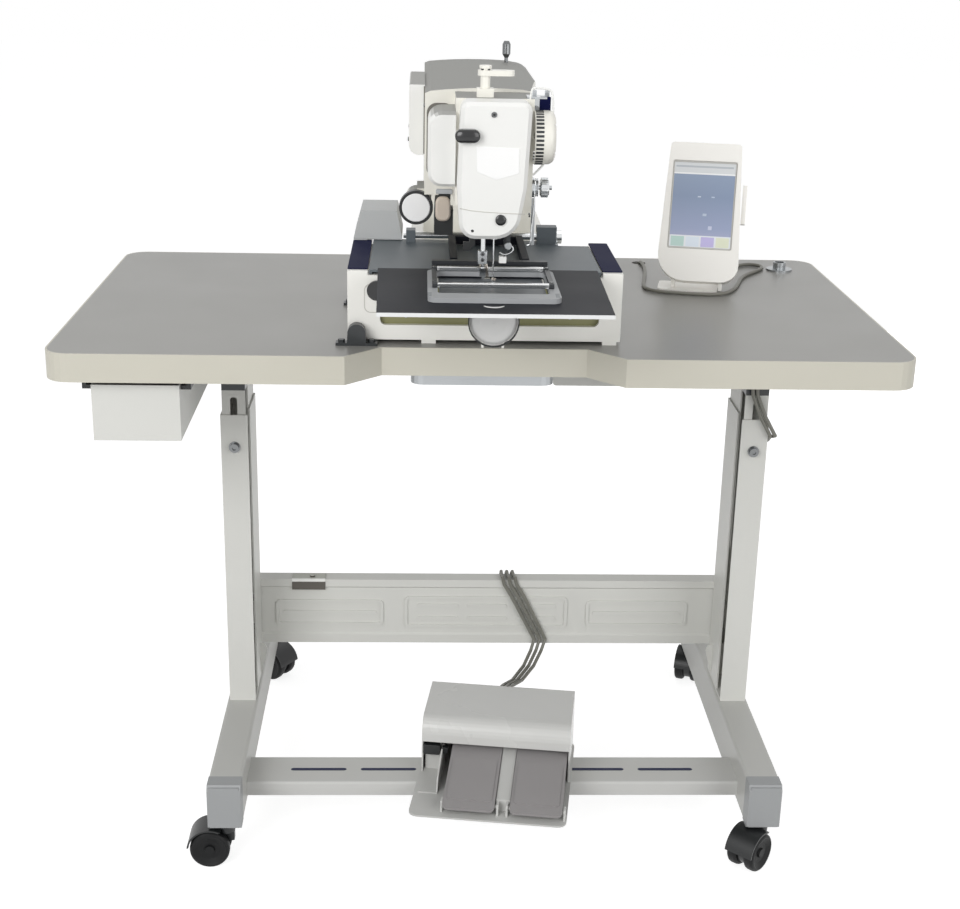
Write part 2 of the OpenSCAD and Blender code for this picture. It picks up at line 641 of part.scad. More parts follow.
// ---- head: arm and covers ------------------------------------------------------
step_y = 95;                              // where the arm's low front end begins
low_top = arm_crown - 1;                  // top of the low front end
module arm_casting() color("#e9e8e2") from_edge() difference() {
    union() {
        intersection() {
            // side profile
            along_x(-120, 120) polygon(concat(
                [[face_back, arm_under], [face_back, low_top], [step_y, low_top], [step_y, arm_crown + 6]],
                arc(arm_back - 34, arm_crown - 28, 34, 90, 0, 6),
                [[arm_back, bed_top], [arm_y, bed_top]],
                arc(arm_y - 30, arm_under - 30, 30, 0, 90, 6)));
            // front profile with a crowned top
            along_y(0, 700) polygon(concat([[arm_left, bed_top], [arm_left, arm_crown - 4]],
                arc(0, arm_crown - 640, 644, 97, 86, 6), arc(56, arm_crown - 32, 32, 75, 0, 5),
                [[88, bed_top]]));
            // plan: narrow front end, wider column
            along_z(bed_top, arm_crown + 20) polygon([
                [-46, face_back], [arm_right, face_back], [arm_right, step_y], [84, arm_y],
                [84, arm_back], [arm_left, arm_back], [arm_left, step_y], [-46, step_y]]);
        }
        // lugs that hold the needle bar and presser bar bushes
        for (z = [arm_under + 4, arm_under + 70])
            along_z(z, z + 16) polygon(round_box(-18, -14, 18, face_back + 1, 5, 3));
        // bracket of the hand knob's shaft
        box(-96, -76, 132, 200, arm_under - 22, arm_under + 2);
        rod_y(-97, 128, 205, arm_under - 20, 30);
    }
    rod_z(needle_x, needle_y, arm_under, arm_under + 125, bar_d + run_fit);
    rod_z(presser_x, needle_y, arm_under, arm_under + 125, 6 + run_fit);
    rod_y(-97, 120, 210, arm_under - 20, 10 + run_fit);
    // running bore of the take-up lever's pivot
    rod_x(arm_right - 20, arm_right + 1, take_up_y, take_up_z, 8 + run_fit);
}
presser_x = needle_x - 14;
take_up_y = 34;
take_up_z = table_z + 295;

module left_cover() color("#f2f1ee") from_edge() along_y(175, 369) polygon(concat(
    arc(-94, arm_crown - 84, 14, 180, 270, 5), [[arm_left, arm_crown - 98], [arm_left, arm_crown - 1]],
    arc(-105, arm_crown - 4, 3, 90, 180, 3)));

module side_cover() color("#ecebe4") from_edge() hull() {
    along_y(12, step_y) polygon(concat([[-46, arm_under + 25], [-46, arm_under + 122]],
        arc(-64, arm_under + 104, 18, 90, 180, 5), arc(-64, arm_under + 43, 18, 180, 270, 5)));
    along_y(7, step_y) polygon(concat([[-46, arm_under + 29], [-46, arm_under + 118]],
        arc(-64, arm_under + 104, 14, 90, 180, 5), arc(-64, arm_under + 43, 14, 180, 270, 5)));
}

// Outline of the face cover, moved in by e: straight sides that lean in, and a long round
// corner at the lower right
function face_outline(e) = concat(
    arc(39.5, arm_crown - 12, 11 - e, 0, 90, 4), arc(-30, arm_crown - 12, 11 - e, 90, 180, 4),
    [[e - 44, table_z + 238]], arc(-20, table_z + 190, 21 - e, 185, 270, 5),
    arc(6, table_z + 203, 34 - e, 270, 345, 6), [[46 - e, table_z + 234]]);

module face_cover() color("#f0f0ec") from_edge() difference() {
    hull() {
        along_y(face_y + 5, face_back) polygon(face_outline(0));
        along_y(face_y, face_y + 5) polygon(face_outline(5));
    }
    along_y(face_y + 3, face_back + 1) polygon(face_outline(7));
    // way out for the needle bar and the presser bar
    along_z(table_z + 150, table_z + 190) polygon(round_box(presser_x - 6, needle_y - 8, needle_x + 10, needle_y + 10, 3, 3));
}

module cover_knobs() color("#17191a") from_edge() {
    // pill shaped catch
    along_y(face_y - 9, face_y) polygon(round_box(-48, table_z + 294, -16, table_z + 311, 8.4, 6));
    // round plug
    rod_y(13, face_y - 2, face_y, table_z + 195, 14);
    // plug of the bed's side
    rod_y(-150, bed_y - 4, bed_y, bed_bottom + 70, 28);
}

module rear_cover() color("#a7aaab") from_edge() {
    x0 = -bed_w / 2;
    difference() {
        hull() {
            box(x0, x0 + 73, bed_back - 4, bed_back + 108, bed_top + 8, bed_top + 10);
            box(x0 + 11, x0 + 65, bed_back + 4, bed_back + 100, bed_top + 48, bed_top + 50);
        }
        hull() {
            box(x0 + 3, x0 + 70, bed_back - 1, bed_back + 105, bed_top + 7, bed_top + 9);
            box(x0 + 14, x0 + 62, bed_back + 7, bed_back + 97, bed_top + 45, bed_top + 46);
        }
    }
    box(x0, x0 + 20, bed_back - 4, bed_back + 108, bed_top, bed_top + 10);
}

// ---- head: needle drive --------------------------------------------------------
// lower end of the needle bar, which clears the lifted foot at the bottom of its stroke
bar_low = table_z + 166;
needle_len = bar_low - plate_top - 11.5;  // straight part of the needle below the bar
module needle_bar() color("#c8cbcc") from_edge() {
    rod_z(needle_x, needle_y, bar_low, arm_under + 116, bar_d);
    rod_z(needle_x, needle_y, bar_low - 1, bar_low + 12, 11);
    rod_x(needle_x, needle_x + 9, needle_y, bar_low + 5, 4);
    translate([needle_x, needle_y, bar_low - needle_len]) cylinder(h = needle_len, d = 1.8, $fn = 16);
    translate([needle_x, needle_y, bar_low - needle_len - 6]) cylinder(h = 6, d1 = 0.4, d2 = 1.8, $fn = 16);
}

module presser_foot() color("#b3b6b7") from_edge() {
    rod_z(presser_x, needle_y, frame_top + 12, arm_under + 110, 6);
    box(presser_x - 4, presser_x + 4, needle_y - 4, needle_y + 4, frame_top + 2, frame_top + 14);
    // toe, open on the needle's side
    along_z(plate_top + 3.5, plate_top + 6) intersection() {
        union() {
            translate([needle_x, needle_y]) circle(d = 9);
            translate([presser_x - 1, needle_y - 3]) square([12, 6]);
        }
        translate([presser_x - 1, needle_y - 5]) square([needle_x - presser_x - 0.5, 10]);
    }
    box(presser_x - 1, presser_x + 3, needle_y - 3, needle_y + 3, plate_top + 3.5, frame_top + 4);
}

module take_up_lever() color("#c4c7c8") from_edge() difference() {
    union() {
        rod_x(arm_right - 16, arm_right + 8, take_up_y, take_up_z, 8);
        along_x(arm_right + 4, arm_right + 8) {
            translate([take_up_y, take_up_z]) circle(d = 12);
            polygon([[take_up_y, take_up_z - 5], [take_up_y - 25, take_up_z + 9],
                [take_up_y - 25, take_up_z + 15], [take_up_y, take_up_z + 5]]);
            translate([take_up_y - 25, take_up_z + 12]) circle(d = 7);
        }
    }
    rod_x(arm_right, arm_right + 10, take_up_y - 25, take_up_z + 12, 3);
}

module take_up_guard() color("#d9d5c6") from_edge() difference() {
    translate([arm_right, take_up_y - 14, take_up_z]) rotate([0, 90, 0]) rotate_extrude($fn = 64) polygon(concat(
        [[33, 0], [35, 0]], arc(25, 18, 10, 0, 80, 5), [[0, 28.6], [0, 26.6], [24, 26.6]],
        arc(25, 18, 8, 80, 0, 5)));
    for (i = [-2:2]) along_x(arm_right + 25, arm_right + 30)
        translate([take_up_y - 40, take_up_z - 1.5 + i * 9]) square([52, 3]);
    along_x(arm_right - 1, arm_right + 40) translate([take_up_y - 14, take_up_z - 40]) square([60, 18]);
}

tension_y = 40;
tension_z = table_z + 226;
module tension_unit() color("#9a9ea0") from_edge() {
    rod_x(arm_right, arm_right + 4, tension_y, tension_z, 26);
    rod_x(arm_right + 4, arm_right + 28, tension_y, tension_z, 6);
    for (i = [0, 1]) rod_x(arm_right + 5.5 + i * 2.4, arm_right + 7 + i * 2.4, tension_y, tension_z, 24);
    // thread guide block and bracket above
    box(arm_right, arm_right + 18, 20, 42, table_z + 332, table_z + 346);
    box(arm_right - 10, arm_right + 16, 18, 44, low_top, low_top + 2.5);
}

module tension_knob() color("#c7c9ca") from_edge() difference() {
    translate([arm_right + 12, tension_y, tension_z]) rotate([0, 90, 0]) rotate_extrude() polygon([
        [0, 0], [10, 0], [12.5, 2], [12.5, 9], [10, 12], [0, 12]]);
    rod_x(arm_right + 11, arm_right + 26, tension_y, tension_z, 6 + run_fit);
    for (a = [0:30:330]) translate([arm_right + 11, tension_y, tension_z]) rotate([a, 0, 0])
        translate([0, 13.1, 0]) rotate([0, 90, 0]) cylinder(h = 14, d = 2.6);
}

module hand_knob() color("#f1f1ef") from_edge() {
    translate([-97, 128 - slide_gap, arm_under - 20]) rotate([90, 0, 0]) rotate_extrude($fn = 64) polygon(concat(
        [[0, 0], [16, 0], [18, 8]], arc(knob_d / 2 - 4, 12, 4, -90, 90, 6), [[15, 18], [12, 22], [0, 23]]));
    rod_y(-97, 128 - slide_gap - 1, 212, arm_under - 20, 10);
    rod_y(-97, 205 + slide_gap, 212, arm_under - 20, 16);
}

winder_x = -8;
winder_y = 36;
module winder_post() color("#eeeadd") from_edge() {
    box(winder_x - 11, winder_x + 11, winder_y - 10, winder_y + 10, low_top, low_top + 11);
    rod_z(winder_x, winder_y, low_top + 10, low_top + 37, 13);
    rod_z(winder_x, winder_y, low_top + 36, low_top + 40, 16);
}

module winder_lever() color("#dcd8c6") from_edge() difference() {
    along_z(low_top + 27, low_top + 34) difference() {
        polygon(round_box(winder_x - 10, winder_y - 9, winder_x + 38, winder_y + 9, 8.5, 5));
        translate([winder_x, winder_y]) circle(d = 13 + run_fit);
    }
    rod_z(winder_x + 28, winder_y, low_top + 24, low_top + 38, 3);
}

post_x = 44;
post_y = 512;
module guide_post() color("#3a3c3d") from_edge() {
    rod_z(post_x, post_y, arm_crown + 2.8, arm_crown + 11, 6);
    translate([post_x, post_y, arm_crown + 10]) rotate_extrude() polygon([
        [0, 0], [3, 0], [6.5, 6], [6.5, 21], [4, 26], [0, 26]]);
}

// ---- feed ----------------------------------------------------------------------
carriage_z = bed_top + 0.6;
carriage_x = bed_w / 2 - rail_w - 2;       // half the width of the feed's cover plate
module feed_carriage() color("#757a7e") from_edge() {
    difference() {
        union() {
            // grey cover plate of the Y feed
            along_z(bed_top + 3.4, bed_top + 6.9) polygon([
                [-carriage_x, bed_y + 5], [carriage_x, bed_y + 5], [carriage_x, 262], [116, 262], [116, 298],
                [-carriage_x, 298]]);
            for (x = [-carriage_x, carriage_x - 4]) box(x, x + 4, bed_y + 5, 262, bed_top + 0.6, bed_top + 6);
            // bearing blocks of the cross shaft
            box(-112, -98, shaft_y - 11, shaft_y + 11, bed_top + 6, shaft_z + 9);
            box(84, 114, shaft_y - 11, shaft_y + 11, bed_top + 6, shaft_z + 16);
        }
    }
    rod_x(-116, 122, shaft_y, shaft_z, shaft_d);
    rod_x(114, 122, shaft_y, shaft_z, 20);
}

module feed_plate() color("#33353a") from_edge() {
    arm_y0 = window_y0 + window_d + 26;
    difference() {
        union() {
            along_z(plate_z, plate_top) polygon([
                [needle_x - 3 - plate_w / 2 + 5, -plate_reach], [needle_x - 3 + plate_w / 2 - 5, -plate_reach],
                [needle_x - 3 + plate_w / 2, bed_y + 4], [needle_x - 3 - plate_w / 2, bed_y + 4]]);
            // folded front lip
            box(needle_x - 3 - plate_w / 2 + 5, needle_x - 3 + plate_w / 2 - 5, -plate_reach, -plate_reach + 2,
                plate_z - 3, plate_top);
            // arms back to the bearing block on the cross shaft
            for (s = [-1, 1]) along_x(needle_x + s * 50 - 5, needle_x + s * 50 + 5) polygon([
                [arm_y0, plate_top], [shaft_y - 20, plate_top], [shaft_y - 20, plate_top + 12],
                [bed_y + 20, plate_top + 12], [bed_y + 6, plate_top + 5], [arm_y0, plate_top + 5]]);
            box(needle_x - 55, needle_x + 55, shaft_y - 34, shaft_y - 20, plate_top, plate_top + 12);
            box(needle_x - 22, needle_x + 22, shaft_y - 21, shaft_y + 10, plate_z, shaft_z + 12);
        }
        along_z(plate_z - 1, plate_top + 1) polygon(round_box(window_x - window_w / 2, window_y0,
            window_x + window_w / 2, window_y0 + window_d, 6, 3));
        rod_x(needle_x - 60, needle_x + 60, shaft_y, shaft_z, shaft_d + run_fit);
    }
    // lower work frame
    color("#a9abad") along_z(plate_top, frame_top) difference() {
        polygon(round_box(window_x - window_w / 2 - frame_bar, window_y0 - front_bar,
            window_x + window_w / 2 + frame_bar, window_y0 + window_d + frame_bar, 12, 4));
        polygon(round_box(window_x - window_w / 2, window_y0, window_x + window_w / 2,
            window_y0 + window_d, 6, 3));
    }
}

clamp_z = frame_top + 0.3;
module work_clamp() color("#c3c5c6") from_edge() {
    x0 = window_x - window_w / 2;
    x1 = window_x + window_w / 2;
    // bright bars across the work: one in the middle of the window, one behind it
    for (y = [clamp_front, clamp_rear]) along_x(x0 - 7, x1 + 7)
        polygon(round_box(y, clamp_z, y + 6, clamp_z + 6.5, 1.5, 3));
    // side arms to the bridge at the back
    for (x = [x0 - 7, x1 + 1]) box(x, x + 6, clamp_front + 3, bridge_y + 5, clamp_z, clamp_z + 5);
    box(x0 - 7, x1 + 7, bridge_y, bridge_y + 10, clamp_z, clamp_z + 10);
}
clamp_front = needle_y - 63;              // front face of the middle bar
clamp_rear = needle_y + 37;               // front face of the rear bar
bridge_y = needle_y + 57;                 // bridge that joins the side arms

// ---- panel ---------------------------------------------------------------------
module panel_frame() from_edge() translate(panel_at) rotate(panel_turn) children();
tilt_y = 18;                              // tilt axis, in the panel's own frame
tilt_z = 30;
module panel_bracket() color("#ecebe6") panel_frame() {
    along_z(0, 5) polygon(round_box(-62, -8, 34, 52, 6, 3));
    for (s = [-1, 1]) along_x(s * 38 - 3, s * 38 + 3) {
        polygon([[tilt_y - 9, 2], [tilt_y + 14, 2], [tilt_y + 7, tilt_z], [tilt_y - 7, tilt_z]]);
        translate([tilt_y, tilt_z]) circle(d = 14);
    }
    rod_x(-41, 41, tilt_y, tilt_z, 6);
    // relief of the cord, turned to its first stretch
    difference() {
        translate([30, 48, 0]) box(-6, 6, -4, 12, 0, 9);
        translate([30, 48, 0]) rod_y(0, 6, 13, lead_d / 2 + 0.3, lead_d + 0.4);
    }
}

module panel_case() color("#e8e6e1") panel_frame() translate([0, tilt_y, tilt_z]) rotate([-panel_lean, 0, 0]) {
    z0 = -18;
    difference() {
        hull() {
            along_y(-panel_t / 2 - 4, panel_t / 2 - 4) polygon(concat(
                arc(panel_w / 2 - 28, z0 + 28, 28, -90, 0, 5), arc(panel_w / 2 - 14, z0 + panel_l - 6, 6, 0, 90, 3),
                arc(14 - panel_w / 2, z0 + panel_l - 6, 6, 90, 180, 3), arc(44 - panel_w / 2, z0 + 44, 44, 180, 270, 6)));
        }
        // recess of the screen
        along_y(-panel_t / 2 - 5, -panel_t / 2 - 1) polygon(round_box(-51, z0 + 52, 52, z0 + panel_l - 29, 3, 2));
        // fork for the bracket
        rod_x(-80, 80, 0, 0, 6 + run_fit);
        for (s = [-1, 1]) along_x(s * 38 - 3.6, s * 38 + 3.6) translate([-8.5, z0 - 5]) square([40, 32]);
    }
    // side flap
    box(panel_w / 2 - 2, panel_w / 2 + 5, -4, 6, 80, 143);
}

// ---- pedal ---------------------------------------------------------------------
module pedal_frame() from_edge() translate(pedal_at) rotate(pedal_turn) children();
heel_y = -pedal_l / 2 + 22;               // treadle hinge
heel_z = 14;
treadle_rise = 13;                        // slope of a treadle at rest
module pedal_base() color("#b4b4b1") pedal_frame() {
    along_z(0, 3) polygon(round_box(-pedal_w / 2, -pedal_l / 2, pedal_w / 2, pedal_l / 2, 14, 4));
    for (x = [-71, 13, 27, 113]) difference() {
        along_x(x, x + 3) polygon([
            [heel_y - 9, 2], [heel_y + 9, 2], [heel_y + 6, heel_z + 6], [heel_y - 6, heel_z + 6]]);
        rod_x(x - 1, x + 4, heel_y, heel_z, 6);
    }
    rod_x(-71, 16, heel_y, heel_z, 6);
    rod_x(27, 116, heel_y, heel_z, 6);
    // raised web between the treadles
    along_x(11, 32) difference() {
        polygon([[heel_y + 6, 2], [heel_y + 12, heel_z + 5], [20, heel_z + 33], [20, 2]]);
        polygon([[heel_y + 14, 3], [heel_y + 18, heel_z + 3], [18, heel_z + 30], [18, 3]]);
    }
    // fin bracket on the left and the switch block under the hood
    box(-112, -82, -62, 30, 3, 5);
    along_x(-84, -82) polygon([[-62, 4], [-50, 26], [-4, 46], [30, 46], [30, 4]]);
    box(-110, -86, 8, 30, 4, 50);
}

// Side view of the hood, moved in by e: a sheet rolled over from the front lip to the back
hood_lip = 56;
hood_roll = 26;
hood_back = pedal_l / 2 - 2;
function hood_side(e) = concat(
    [[hood_back - e, 3]], arc(hood_back - 9, hood_h - 9, 9 - e, 0, 88, 4),
    arc(hood_roll, hood_h - 5 - hood_roll, hood_roll - e, 88, 180, 8), [[e, hood_lip]]);
module pedal_hood() color("#bebebb") pedal_frame() difference() {
    union() {
        for (s = [-1, 1]) along_x(s * (pedal_w / 2 - 4) - 1, s * (pedal_w / 2 - 4) + 1)
            polygon(concat(hood_side(0), [[0, 3]]));
        along_x(-pedal_w / 2 + 4, pedal_w / 2 - 4) difference() {
            polygon(hood_side(0));
            polygon(concat([[hood_back - 2, 2]], [for (p = hood_side(2)) if (p[1] > 4) p], [[2, hood_lip - 1], [2, 2]]));
            translate([-1, 2]) square([20, hood_lip - 2]);
        }
        // strain relief of the leads at the back
        box(-14, 16, hood_back - 1, hood_back + 8, gland_z - 8, gland_z + 8);
    }
    for (i = [-1:1]) rod_y(1 + i * 8, hood_back + 3, hood_back + 9, gland_z, lead_d + 0.4);
}
gland_z = 84;                             // height of the leads above the pedal's base

module treadle(x) color("#858384") pedal_frame() difference() {
    translate([0, heel_y, heel_z]) rotate([treadle_rise, 0, 0]) union() {
        along_z(2, 6) polygon(round_box(x, -16, x + treadle_w, 190, 8, 3));
        for (dx = [4, treadle_w - 8]) box(x + dx, x + dx + 4, -5, 6, -5, 4);
        along_z(5, 7.5) polygon(round_box(x + 5, 2, x + treadle_w - 5, 92, 6, 3));
    }
    rod_x(x - 2, x + treadle_w + 2, heel_y, heel_z, 6 + run_fit);
}
module treadle_left() treadle(-68);
module treadle_right() treadle(33);

// ---- leads ---------------------------------------------------------------------
lead_d = 6;                               // diameter of a lead
lead_sides = 8;

function unit(v) = v / norm(v);
function heading(p, i) = unit(p[min(i + 1, len(p) - 1)] - p[max(i - 1, 0)]);
// A direction square to the curve at each point, carried along it without twist
function square_to(v, t) = unit(v - (v * t) * t);
function carried(p, start) = [for (i = 0, s = square_to(start, heading(p, 0)); i < len(p);
    i = i + 1, s = square_to(s, heading(p, min(i, len(p) - 1)))) s];

// A tube of diameter d along the points p; start is any direction across its beginning
module tube(p, d, start) {
    side = carried(p, start);
    n = lead_sides;
    last = len(p) - 1;
    points = [for (i = [0:last], k = [0:n - 1]) let (a = 360 * k / n)
        p[i] + d / 2 * (cos(a) * side[i] + sin(a) * cross(heading(p, i), side[i]))];
    polyhedron(points, concat(
        [[for (k = [0:n - 1]) k]], [[for (k = [n - 1:-1:0]) last * n + k]],
        [for (i = [0:last - 1], k = [0:n - 1]) let (m = (k + 1) % n)
            [i * n + k, (i + 1) * n + k, (i + 1) * n + m, i * n + m]]));
}

// Routes of the leads. A row is a point of the middle lead, then the step to the next lead.
LEAD_ROUTE = [
    [51.2, 207.5, 184, 7.9, -1.15, 0], [53.4, 222.3, 184, 7.9, -1.15, 0], [60, 255, 172, 8, 0, 0],
    [78, 300, 158, 8, 0, 0], [100, 345, 162, 8.5, 0, 0], [114, 372, 178, 9, 0, 0], [120, 378.4, 196, 9.5, 0, 0],
    [102, 378.5, 232, 10, 0, 0], [80, 378.5, 276, 10.5, 0, 0], [67, 378.4, 298, 10.5, 0, 0],
    [65.4, 377.9, 304.5, 10.5, 0, 0], [64.6, 382.5, 308.8, 10.5, 0, 0], [63, 395, 307.4, 10, 0, 0],
    [62, 410, 308.6, 9.5, 0, 0], [61.5, 414.6, 304, 9, 0, 0], [61.5, 413, 286, 8.5, 0, 0],
    [62, 404, 274, 8.5, 0, 0], [62, 401, 262, 8.5, 0, 0],
];
BEAM_ROUTE = [
    [88, 400, 250, 0, 7, 0], [104, 400, 247, 0, 7, 0], [150, 400, 212, 0, 7, 0], [185, 400, 193, 0, 7, 0],
    [420, 400, 192.6, 0, 7, 0], [452, 400, 200, 0, 7, 0], [470, 396, 232, 0, 7, 0], [466, 380, 290, 0, 7, 0],
    [460.6, 370, 330, 0, 7, 0], [460.6, 370, 560, 0, 7, 0],
];
RISER_ROUTE = [
    [460.6, 370, 560, 0, 7, 0], [460.6, 370, 566, 0, 7, 0], [461, 358, 578, 0, 5, 5], [461, 300, 588, 0, 1, 7], [464, 281, 596, 5, 2, 5],
    [463, 254, 608, 7, -1.5, 1.5], [445, 255, 640, 7, 0, 1], [431, 257, 674, 7, 0, 0],
    [428, 256.5, 705, 6.6, 0, 0], [427.5, 256, under_z - 14, 6.6, 0, 0], [427.5, 256, under_z - 4, 6.6, 0, 0],
];
function lead(route, i) = [for (r = route) [r[0], r[1], r[2]] + i * [r[3], r[4], r[5]]];
module pedal_cable() color("#6e6e69") from_edge() {
    for (i = [-1:1]) tube(lead(LEAD_ROUTE, i), lead_d, [1, 0, 0]);
    // connector block on the beam's web
    box(46, 88, beam_y + 5, 410, 238, 262);
    for (i = [-0.5, 0.5]) tube(lead(BEAM_ROUTE, i), lead_d, [0, 1, 0]);
}

module riser_cable() color("#6e6e69") from_edge()
    for (i = [-0.5, 0.5]) tube(lead(RISER_ROUTE, i), lead_d, [1, 0, 0]);

// Cord of the panel: from its relief around on the table and down through a hole
cord_z = table_z + lead_d / 2 + 0.3;
cord_hole = [292, 634];
CORD_ROUTE = [
    [395.6, 458.6, 0], [398.1, 470.3, 0], [402, 492, 0], [410, 516, 0], [421, 541, 0], [434, 566, 0],
    [449, 590, 0], [465, 609, 0], [483, 618, 0], [499, 608, 0], [500, 590, 0], [488, 569, 0],
    [473, 549, 0], [459, 529, 0], [448, 507, 0], [440, 483, 0], [432, 458, 0], [423, 433, 0],
    [411, 409, 0], [397, 391, 0], [377, 384, 0], [354, 385, 0], [330, 390, 0], [306, 396, 0],
    [287, 405, 0], [276, 422, 0], [275, 446, 0], [279, 474, 0], [284, 504, 0], [289, 534, 0],
    [293, 564, 0], [295, 592, 0.3], [294.5, 612, 0.6], [293.5, 624, 0.2], [292.5, 631, -4],
    [292, 634, -12], [292, 635, -24],
];
// A smooth curve through the points, n steps between two of them
function curve(p, n) = let (last = len(p) - 1) concat(
    [for (i = [0:last - 1], k = [0:n - 1]) let (
        t = k / n, a = p[max(i - 1, 0)], b = p[i], c = p[i + 1], d = p[min(i + 2, last)])
        0.5 * (2 * b + (c - a) * t + (2 * a - 5 * b + 4 * c - d) * t * t + (3 * b - a - 3 * c + d) * t * t * t)],
    [p[last]]);
module panel_cord() color("#6e6e69") from_edge()
    tube(curve([for (q = CORD_ROUTE) q + [0, 0, cord_z]], 2), lead_d, [0, 0, 1]);

feet();
foot_end_caps();
columns();
cross_beam();
foot_beam();
stand_bolts();
beam_clip();
caster_fl();
caster_fr();
caster_rl();
caster_rr();
wheels_fl();
wheels_fr();
wheels_rl();
wheels_rr();
inner_columns();
table_brackets();
table_top();
edge_band();
drawer();
drawer_runners();
control_box();
oil_pan();
thread_stand_socket();
hinge_blocks();
bed_casting();
bed_side_panels();
front_sill();
arm_casting();
left_cover();
side_cover();
face_cover();
cover_knobs();
rear_cover();
needle_plate();
hook_cover();
hook_assembly();
bobbin_case();
needle_bar();
presser_foot();
take_up_lever();
take_up_guard();
tension_unit();
tension_knob();
hand_knob();
winder_post();
winder_lever();
guide_post();
feed_carriage();
feed_plate();
work_clamp();
panel_bracket();
panel_case();
pedal_base();
pedal_hood();
treadle_left();
treadle_right();
pedal_cable();
riser_cable();
panel_cord();
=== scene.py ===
# %% [markdown]
# # A programmable pattern sewing machine
# A sewing head with a plate feed stands on a notched table. The table stands on two columns
# with four casters, and has an operation panel, a drawer and a foot pedal. The solid parts are
# already made and are loaded as a fixed frame. This lesson adds what a solid model leaves out:
# the light, the camera, the finishes, the one loose cord and the fine hardware.

from math import cos, pi, radians, sin, tau

import bmesh
import bpy
from mathutils import Matrix, Vector


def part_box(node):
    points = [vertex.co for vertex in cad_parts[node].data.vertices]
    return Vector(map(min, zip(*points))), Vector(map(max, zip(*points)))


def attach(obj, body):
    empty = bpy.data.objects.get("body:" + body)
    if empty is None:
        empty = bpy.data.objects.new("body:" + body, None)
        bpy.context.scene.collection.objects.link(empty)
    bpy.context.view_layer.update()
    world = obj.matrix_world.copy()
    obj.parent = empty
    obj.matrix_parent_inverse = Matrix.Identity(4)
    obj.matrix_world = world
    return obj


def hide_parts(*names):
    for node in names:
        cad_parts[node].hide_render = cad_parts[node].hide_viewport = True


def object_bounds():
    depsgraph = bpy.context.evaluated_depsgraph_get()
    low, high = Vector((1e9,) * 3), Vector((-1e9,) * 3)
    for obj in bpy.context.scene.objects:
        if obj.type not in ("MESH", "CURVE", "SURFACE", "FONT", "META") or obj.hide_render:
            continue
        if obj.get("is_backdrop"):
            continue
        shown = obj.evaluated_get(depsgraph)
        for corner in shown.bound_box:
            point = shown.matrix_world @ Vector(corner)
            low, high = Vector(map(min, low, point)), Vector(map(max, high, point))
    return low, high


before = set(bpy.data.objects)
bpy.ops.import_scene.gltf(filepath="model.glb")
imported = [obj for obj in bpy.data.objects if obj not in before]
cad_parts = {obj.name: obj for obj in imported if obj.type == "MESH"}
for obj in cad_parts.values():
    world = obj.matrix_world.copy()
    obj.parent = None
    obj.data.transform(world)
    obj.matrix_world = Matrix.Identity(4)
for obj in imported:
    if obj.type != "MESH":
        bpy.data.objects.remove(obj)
solid_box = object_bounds()
MM = 0.001
FRONT_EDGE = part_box("edge_band")[0].y
TABLE_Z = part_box("edge_band")[1].z


def at(x, back, z):
    """A place in metres from millimetres: across, behind the table's front edge, and up."""
    return Vector((x * MM, FRONT_EDGE + back * MM, z * MM))


print("solid model:", [round(b - a, 3) for a, b in zip(*solid_box)])

# %% [markdown]
# ## Camera
# The view is a little from the left and from above head height. The lens is long enough to
# keep the table's sides nearly parallel, and the small roll is that of a hand-held view. The
# camera could be aimed at a target, but its three axes are built as vectors, because a view
# with a roll is easier to read that way.

# %% Camera
CAMERA_AT = Vector((-0.092, FRONT_EDGE - 2.0206, TABLE_Z + 0.5617))
YAW, PITCH, ROLL = radians(2.447), radians(19.086), radians(1.276)
forward = Vector((sin(YAW) * cos(PITCH), cos(YAW) * cos(PITCH), -sin(PITCH)))
level = Vector((cos(YAW), -sin(YAW), 0))
upright = level.cross(forward)
right = cos(ROLL) * level + sin(ROLL) * upright
up = cos(ROLL) * upright - sin(ROLL) * level
lens = bpy.data.cameras.new("view")
lens.sensor_width = 36
lens.lens = 57.92
camera = bpy.data.objects.new("view", lens)
turned_view = Matrix((right, up, -forward)).transposed().to_4x4()
camera.matrix_world = Matrix.Translation(CAMERA_AT) @ turned_view
bpy.context.collection.objects.link(camera)
bpy.context.scene.camera = camera
bpy.context.scene.view_settings.view_transform = "Standard"
print("camera at", [round(v, 3) for v in CAMERA_AT])

# %% [markdown]
# ## Node helpers
# The studio and the finishes are built from the same few nodes. They could be wired by hand in
# the editor, but three small functions keep each recipe readable as one line for each step.


# %% Node helpers
def math_node(nodes, links, operation, *values):
    """A math node whose inputs are sockets or plain numbers."""
    node = nodes.new("ShaderNodeMath")
    node.operation = operation
    for i, value in enumerate(values):
        if isinstance(value, (int, float)):
            node.inputs[i].default_value = value
        else:
            links.new(value, node.inputs[i])
    return node.outputs[0]


def ranged(nodes, links, value, from_min=0.0, from_max=1.0, to_min=0.0, to_max=1.0):
    """A value moved from one range to another, and held at its ends."""
    node = nodes.new("ShaderNodeMapRange")
    for i, limit in enumerate((from_min, from_max, to_min, to_max)):
        node.inputs[1 + i].default_value = limit
    links.new(value, node.inputs["Value"])
    return node.outputs["Result"]


def new_material(name):
    """An empty node material with its nodes and links."""
    material = bpy.data.materials.new(name)
    material.use_nodes = True
    return material, material.node_tree.nodes, material.node_tree.links


print("node helpers ready")

# %% [markdown]
# ## Studio
# A pale floor and a pale world show as white behind the machine. Light Path adds that white
# only for what the camera, gloss and glass see, so the lamps alone light the machine, and
# the floor still keeps its shadow. The strong lamps stand in front and fairly low: the walls
# are then bright and the tops a little darker, which keeps a white machine's edges legible. The
# weak lamp at the back is hidden from gloss, or it would mirror in the table top.

# %% Floor and world
FLOOR_SIZE, FLOOR_TONE, FLOOR_GLOW = 30, 0.5, 0.8
SKY_LIGHT, SKY_SEEN = 0.4, 1.0


